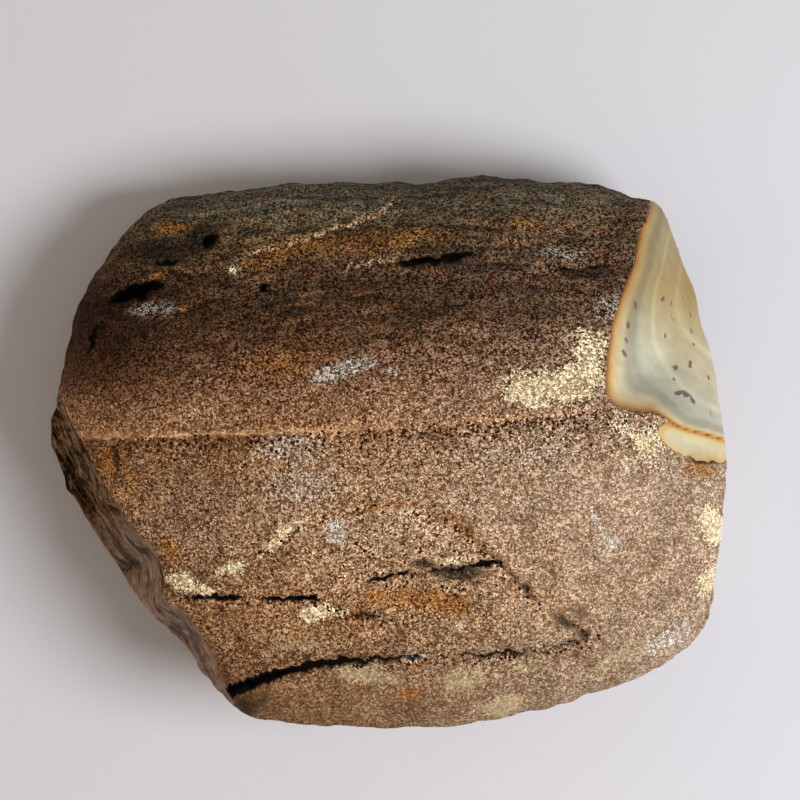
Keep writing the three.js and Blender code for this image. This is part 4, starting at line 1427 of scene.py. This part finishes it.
@dataclass(frozen=True)
class WaxyBreak:
    """Fresh conchoidal break through banded chalcedony.

    To the eye it is smooth and waxy, with soft bands that follow the rind and small dark specks.
    """

    bands: tuple[tuple[float, str], ...] = (
        (0.0, "8a5a30"), (0.3, "b07c42"), (0.8, "d6a762"), (1.3, "d8c08c"), (2.4, "d2c7a2"),
        (3.4, "b2ad97"), (4.6, "aeaa97"), (5.5, "c5c4af"), (7.2, "cac8ae"), (7.9, "e0dcc2"),
        (8.6, "d1c8a9"), (12.5, "cec19b"), (13.4, "ddd4b0"), (15.0, "ccbf92"), (18.0, "cdba85"),
    )
    speck: str = "6c4a4c"
    neck: Tint = (0.62, 0.5, 0.3)
    cloud_mm: float = 7.0
    sway_mm: float = 1.2
    mottle_mm: float = 2.5
    speck_tear_mm: float = 0.5
    speck_tear: float = 0.5
    relief_mm: float = 0.05
    roughness: float = 0.42

    def surface(self, tree: bpy.types.NodeTree, mm: bpy.types.NodeSocket) -> Surface:
        """Adds the break's nodes and returns its sockets."""
        inside = add_node(tree, "Attribute", {"attribute_name": "band_mm"})
        cloud = add_node(tree, "TexNoise", {}, {
            "Vector": mm, "Scale": 1 / self.cloud_mm, "Detail": 2.0})
        wavy = add_node(tree, "Math", {"operation": "MULTIPLY_ADD"}, {
            0: cloud.outputs["Fac"], 1: self.sway_mm, 2: inside.outputs["Fac"]})
        span = self.bands[-1][0]
        start = self.sway_mm / 2
        share = add_node(tree, "MapRange", {}, {
            "Value": wavy.outputs[0], "From Min": start, "From Max": start + span})
        ramp = add_node(tree, "ValToRGB", {}, {"Fac": share.outputs["Result"]})
        set_stops(ramp.color_ramp, [(at / span, linear(tone)) for at, tone in self.bands])
        mottle = add_node(tree, "TexNoise", {}, {
            "Vector": mm, "Scale": 1 / self.mottle_mm, "Detail": 5.0})
        value = add_node(tree, "MapRange", {}, {
            "Value": mottle.outputs["Fac"], "From Min": 0.3, "From Max": 0.7,
            "To Min": 0.9, "To Max": 1.08})
        neck = add_node(tree, "Attribute", {"attribute_name": "neck"})
        yellowed = add_node(tree, "Mix", {"data_type": "RGBA", "blend_type": "MULTIPLY"}, {
            0: neck.outputs["Fac"], 6: ramp.outputs["Color"], 7: (*self.neck, 1)})
        toned = add_node(tree, "VectorMath", {"operation": "SCALE"}, {
            0: yellowed.outputs[2], "Scale": value.outputs["Result"]})
        specks = add_node(tree, "Attribute", {"attribute_name": "specks"})
        ragged = add_node(tree, "TexNoise", {}, {"Vector": mm, "Scale": 1 / self.speck_tear_mm})
        torn = add_node(tree, "Math", {"operation": "MULTIPLY_ADD"}, {
            0: ragged.outputs["Fac"], 1: self.speck_tear, 2: specks.outputs["Fac"]})
        mask = add_node(tree, "MapRange", {}, {
            "Value": torn.outputs[0], "From Min": 0.5, "From Max": 0.75, "To Max": 0.85})
        spotted = add_node(tree, "Mix", {"data_type": "RGBA"}, {
            0: mask.outputs["Result"], 6: toned.outputs[0], 7: linear(self.speck)})
        height = add_node(tree, "Math", {"operation": "MULTIPLY"}, {
            0: mottle.outputs["Fac"], 1: self.relief_mm})
        return Surface(spotted.outputs[2], height.outputs[0], self.roughness)


@dataclass(frozen=True)
class VeinedFlank:
    """Older break across the bedding, dark with iron and crossed by fine silica veins.

    To the eye it is duller than the chip: near-black brown at the top, purple-grey lower down,
    with pale lines along its length. Its streaked relief is painted darker in its hollows and
    lighter on its ridges, as painted shade and light.
    """

    vein_mm: float = 1.1
    web_mm: float = 1.7
    crust_mm: float = 1.6
    black: str = "2a180c"
    brown: str = "744824"
    grey: str = "80685c"
    vein: str = "a88c68"
    # The veins are drawn out along the flank and, less so, down it.
    along_share: float = 0.12
    down_share: float = 0.25
    tangle_mm: float = 1.6
    grey_from_y: Span = (-9.0, -17.0)
    vein_relief_mm: float = 0.6
    roughness: float = 0.88

    def surface(self, tree: bpy.types.NodeTree, mm: bpy.types.NodeSocket) -> Surface:
        """Adds the flank's nodes and returns its sockets."""
        past = add_node(tree, "Attribute", {"attribute_name": "flank_mm"})
        along = add_node(tree, "Attribute", {"attribute_name": "flank_along"})
        parts = add_node(tree, "SeparateXYZ", {}, {0: mm})
        slow = add_node(tree, "Math", {"operation": "MULTIPLY"}, {
            0: along.outputs["Fac"], 1: self.along_share})
        low = add_node(tree, "Math", {"operation": "MULTIPLY"}, {
            0: parts.outputs["Z"], 1: self.down_share})
        run = add_node(tree, "CombineXYZ", {}, {
            "X": past.outputs["Fac"], "Y": slow.outputs[0], "Z": low.outputs[0]})
        streak = add_node(tree, "TexNoise", {}, {
            "Vector": run.outputs[0], "Scale": 1 / self.vein_mm, "Detail": 3.0,
            "Roughness": 0.55})
        southward = add_node(tree, "MapRange", {"interpolation_type": "SMOOTHSTEP"}, {
            "Value": parts.outputs["Y"], "From Min": self.grey_from_y[0],
            "From Max": self.grey_from_y[1]})
        crust = add_node(tree, "TexNoise", {}, {
            "Vector": mm, "Scale": 1 / self.crust_mm, "Detail": 4.0, "Roughness": 0.7})
        scabs = add_node(tree, "ValToRGB", {}, {"Fac": crust.outputs["Fac"]})
        set_stops(scabs.color_ramp, [(0.45, linear(self.black)), (0.68, linear(self.brown))])
        tangle = add_node(tree, "VectorMath", {"operation": "MULTIPLY_ADD"}, {
            0: crust.outputs["Color"], 1: (self.tangle_mm,) * 3, 2: run.outputs[0]})
        web = add_node(tree, "TexVoronoi", {"feature": "DISTANCE_TO_EDGE"}, {
            "Vector": tangle.outputs[0], "Scale": 1 / self.web_mm})
        strand = add_node(tree, "MapRange", {}, {
            "Value": web.outputs["Distance"], "From Min": 0.07, "From Max": 0.01, "To Max": 0.6})
        netted = add_node(tree, "Mix", {"data_type": "RGBA"}, {
            0: strand.outputs["Result"], 6: scabs.outputs["Color"], 7: linear(self.vein)})
        base = add_node(tree, "Mix", {"data_type": "RGBA"}, {
            0: southward.outputs["Result"], 6: netted.outputs[2], 7: linear(self.grey)})
        ridge = add_node(tree, "Math", {"operation": "SUBTRACT"}, {
            0: streak.outputs["Fac"], 1: 0.5})
        size = add_node(tree, "Math", {"operation": "ABSOLUTE"}, {0: ridge.outputs[0]})
        line = add_node(tree, "MapRange", {}, {
            "Value": size.outputs[0], "From Min": 0.03, "From Max": 0.0, "To Max": 0.85})
        veined = add_node(tree, "Mix", {"data_type": "RGBA"}, {
            0: line.outputs["Result"], 6: base.outputs[2], 7: linear(self.vein)})
        shade = add_node(tree, "MapRange", {}, {
            "Value": crust.outputs["Fac"], "From Min": 0.32, "From Max": 0.68,
            "To Min": 0.45, "To Max": 1.5})
        # Painted shade and light: the streaks that raise the vein relief are darker in their
        # hollows and lighter on their ridges.
        hollow = add_node(tree, "MapRange", {}, {
            "Value": streak.outputs["Fac"], "From Min": 0.36, "From Max": 0.64,
            "To Min": 0.35, "To Max": 1.65})
        value = add_node(tree, "Math", {"operation": "MULTIPLY"}, {
            0: shade.outputs["Result"], 1: hollow.outputs["Result"]})
        toned = add_node(tree, "VectorMath", {"operation": "SCALE"}, {
            0: veined.outputs[2], "Scale": value.outputs[0]})
        rugged = add_node(tree, "Math", {"operation": "SUBTRACT"}, {
            0: 1.1, 1: southward.outputs["Result"]})
        scabby = add_node(tree, "Math", {"operation": "MULTIPLY"}, {
            0: crust.outputs["Fac"], 1: rugged.outputs[0]})
        height = add_node(tree, "Math", {"operation": "MULTIPLY_ADD"}, {
            0: streak.outputs["Fac"], 1: self.vein_relief_mm, 2: scabby.outputs[0]})
        return Surface(toned.outputs[0], height.outputs[0], self.roughness)


@dataclass(frozen=True)
class StoneSkin:
    """The stone's one skin: rind, chip and flank, joined along ragged edges."""

    rind: SandyRind = field(default_factory=SandyRind)
    chip: WaxyBreak = field(default_factory=WaxyBreak)
    flank: VeinedFlank = field(default_factory=VeinedFlank)
    ior: float = 1.54
    specular: float = 0.15
    edge_pitch_mm: float = 0.9
    edge_tear_mm: float = 0.7
    edge_mm: Span = (0.3, 0.45)

    def material(self) -> bpy.types.Material:
        """Builds the material, named for what the real stone is."""
        material = bpy.data.materials.new("banded_silica_rock_with_sandy_rind")
        material.use_nodes = True
        tree = material.node_tree
        tree.nodes.clear()
        place = add_node(tree, "TexCoord")
        scaled = add_node(tree, "VectorMath", {"operation": "SCALE"}, {
            0: place.outputs["Object"], "Scale": 1 / MM})
        mm = scaled.outputs[0]
        rind = self.rind.surface(tree, mm)
        edge_noise = add_node(tree, "TexNoise", {}, {
            "Vector": mm, "Scale": 1 / self.edge_pitch_mm, "Detail": 3.0})
        colour, height = rind.colour, rind.height
        roughness: object = rind.roughness
        for name, finish in (("flank_mm", self.flank), ("chip_mm", self.chip)):
            surface = finish.surface(tree, mm)
            inside = add_node(tree, "Attribute", {"attribute_name": name})
            ragged = add_node(tree, "Math", {"operation": "MULTIPLY_ADD"}, {
                0: edge_noise.outputs["Fac"], 1: self.edge_tear_mm, 2: inside.outputs["Fac"]})
            mask = add_node(tree, "MapRange", {}, {
                "Value": ragged.outputs[0], "From Min": self.edge_mm[0],
                "From Max": self.edge_mm[1]})
            share = mask.outputs["Result"]
            mixed = add_node(tree, "Mix", {"data_type": "RGBA"}, {
                0: share, 6: colour, 7: surface.colour})
            heights = add_node(tree, "Mix", {"data_type": "FLOAT"}, {
                0: share, 2: height, 3: surface.height})
            rough = add_node(tree, "Mix", {"data_type": "FLOAT"}, {
                0: share, 2: roughness, 3: surface.roughness})
            colour, height, roughness = mixed.outputs[2], heights.outputs[0], rough.outputs[0]
        bump = add_node(tree, "Bump", {}, {
            "Strength": 1.0, "Distance": MM, "Height": height})
        shader = add_node(tree, "BsdfPrincipled", {}, {
            "Base Color": colour, "Roughness": roughness, "IOR": self.ior,
            "Specular IOR Level": self.specular, "Normal": bump.outputs["Normal"]})
        add_node(tree, "OutputMaterial", {}, {"Surface": shader.outputs[0]})
        return material


@dataclass(frozen=True)
class Lamp:
    """A round, soft lamp that faces the stone.

    Its bearing is in degrees counterclockwise from east, its elevation in degrees above the
    floor, its energy in watts and its colour linear.
    """

    name: str
    bearing: float
    elevation: float
    size_mm: float
    energy: float
    colour: Tint
    distance_mm: float = 640.0

    def hang(self) -> None:
        """Adds the lamp to the scene."""
        turn = math.radians(self.bearing)
        rise = math.radians(self.elevation)
        level = math.cos(rise)
        away = Vector((level * math.cos(turn), level * math.sin(turn), math.sin(rise)))
        light = bpy.data.lights.new(self.name, "AREA")
        light.shape = "DISK"
        light.size = self.size_mm * MM
        light.energy = self.energy
        light.color = self.colour
        lamp = bpy.data.objects.new(self.name, light)
        lamp.location = away * self.distance_mm * MM
        lamp.rotation_euler = away.to_track_quat("Z", "Y").to_euler()
        bpy.context.scene.collection.objects.link(lamp)


@dataclass(frozen=True)
class Studio:
    """A plain pale floor, soft light from the east, a warm bounce and the overhead camera."""

    floor_size_mm: float = 4000.0
    floor_colour: str = "e6e6ec"
    floor_roughness: float = 0.95
    lamps: tuple[Lamp, ...] = (
        Lamp("key", -18.0, 50.0, 300.0, 3.2, (0.98, 0.98, 1.0)),
        Lamp("bounce", 180.0, 25.0, 500.0, 0.75, (1.0, 0.66, 0.3)),
    )
    fill_strength: float = 0.24
    fill_colour: Tint = (1.0, 0.98, 0.95)
    camera_height_mm: float = 800.0
    focus_z_mm: float = 30.0
    centre_mm: Point = (1.67, 9.0)
    frame_mm: float = 133.3
    sensor_mm: float = 36.0

    def build(self, middle: np.ndarray) -> None:
        """Builds the stage round the stone.

        Args:
            middle: How far the stone's middle was moved, in millimetres.
        """
        self.add_floor()
        for lamp in self.lamps:
            lamp.hang()
        self.add_fill()
        self.add_camera(middle)

    def add_floor(self) -> None:
        """Lays the floor at z = 0."""
        half = self.floor_size_mm / 2 * MM
        mesh = bpy.data.meshes.new("floor")
        corners = [(-half, -half, 0), (half, -half, 0), (half, half, 0), (-half, half, 0)]
        mesh.from_pydata(corners, [], [(0, 1, 2, 3)])
        material = bpy.data.materials.new("pale_matt_board")
        material.use_nodes = True
        tree = material.node_tree
        tree.nodes.clear()
        shader = add_node(tree, "BsdfPrincipled", {}, {
            "Base Color": linear(self.floor_colour), "Roughness": self.floor_roughness})
        add_node(tree, "OutputMaterial", {}, {"Surface": shader.outputs[0]})
        mesh.materials.append(material)
        floor = bpy.data.objects.new("floor", mesh)
        bpy.context.scene.collection.objects.link(floor)

    def add_fill(self) -> None:
        """Lights the room evenly and faintly from all round."""
        world = bpy.data.worlds.new("fill")
        world.use_nodes = True
        sky = world.node_tree.nodes["Background"]
        sky.inputs["Color"].default_value = (*self.fill_colour, 1)
        sky.inputs["Strength"].default_value = self.fill_strength
        bpy.context.scene.world = world

    def add_camera(self, middle: np.ndarray) -> None:
        """Hangs the camera straight above the stone, with north at the top of the picture."""
        data = bpy.data.cameras.new("camera")
        data.sensor_width = self.sensor_mm
        data.lens = self.sensor_mm * self.camera_height_mm / self.frame_mm
        camera = bpy.data.objects.new("camera", data)
        east = self.centre_mm[0] - middle[0]
        north = self.centre_mm[1] - middle[1]
        height = self.camera_height_mm + self.focus_z_mm
        camera.location = Vector((east, north, height)) * MM
        bpy.context.scene.collection.objects.link(camera)
        bpy.context.scene.camera = camera


def main() -> None:
    """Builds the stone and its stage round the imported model."""
    logging.basicConfig(level=logging.INFO, format="%(name)s: %(message)s")
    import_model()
    stone, middle = StoneMesh().build()
    stone.data.materials.append(StoneSkin().material())
    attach(stone, "root")
    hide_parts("stone")
    LOG.info("stone: %d faces, middle moved by %s", len(stone.data.polygons), middle.round(2))
    Studio().build(middle)
    scene = bpy.context.scene
    scene.view_settings.view_transform = "Standard"
    LOG.info("stage, light and camera are in place")


if __name__ == "__main__":
    main()
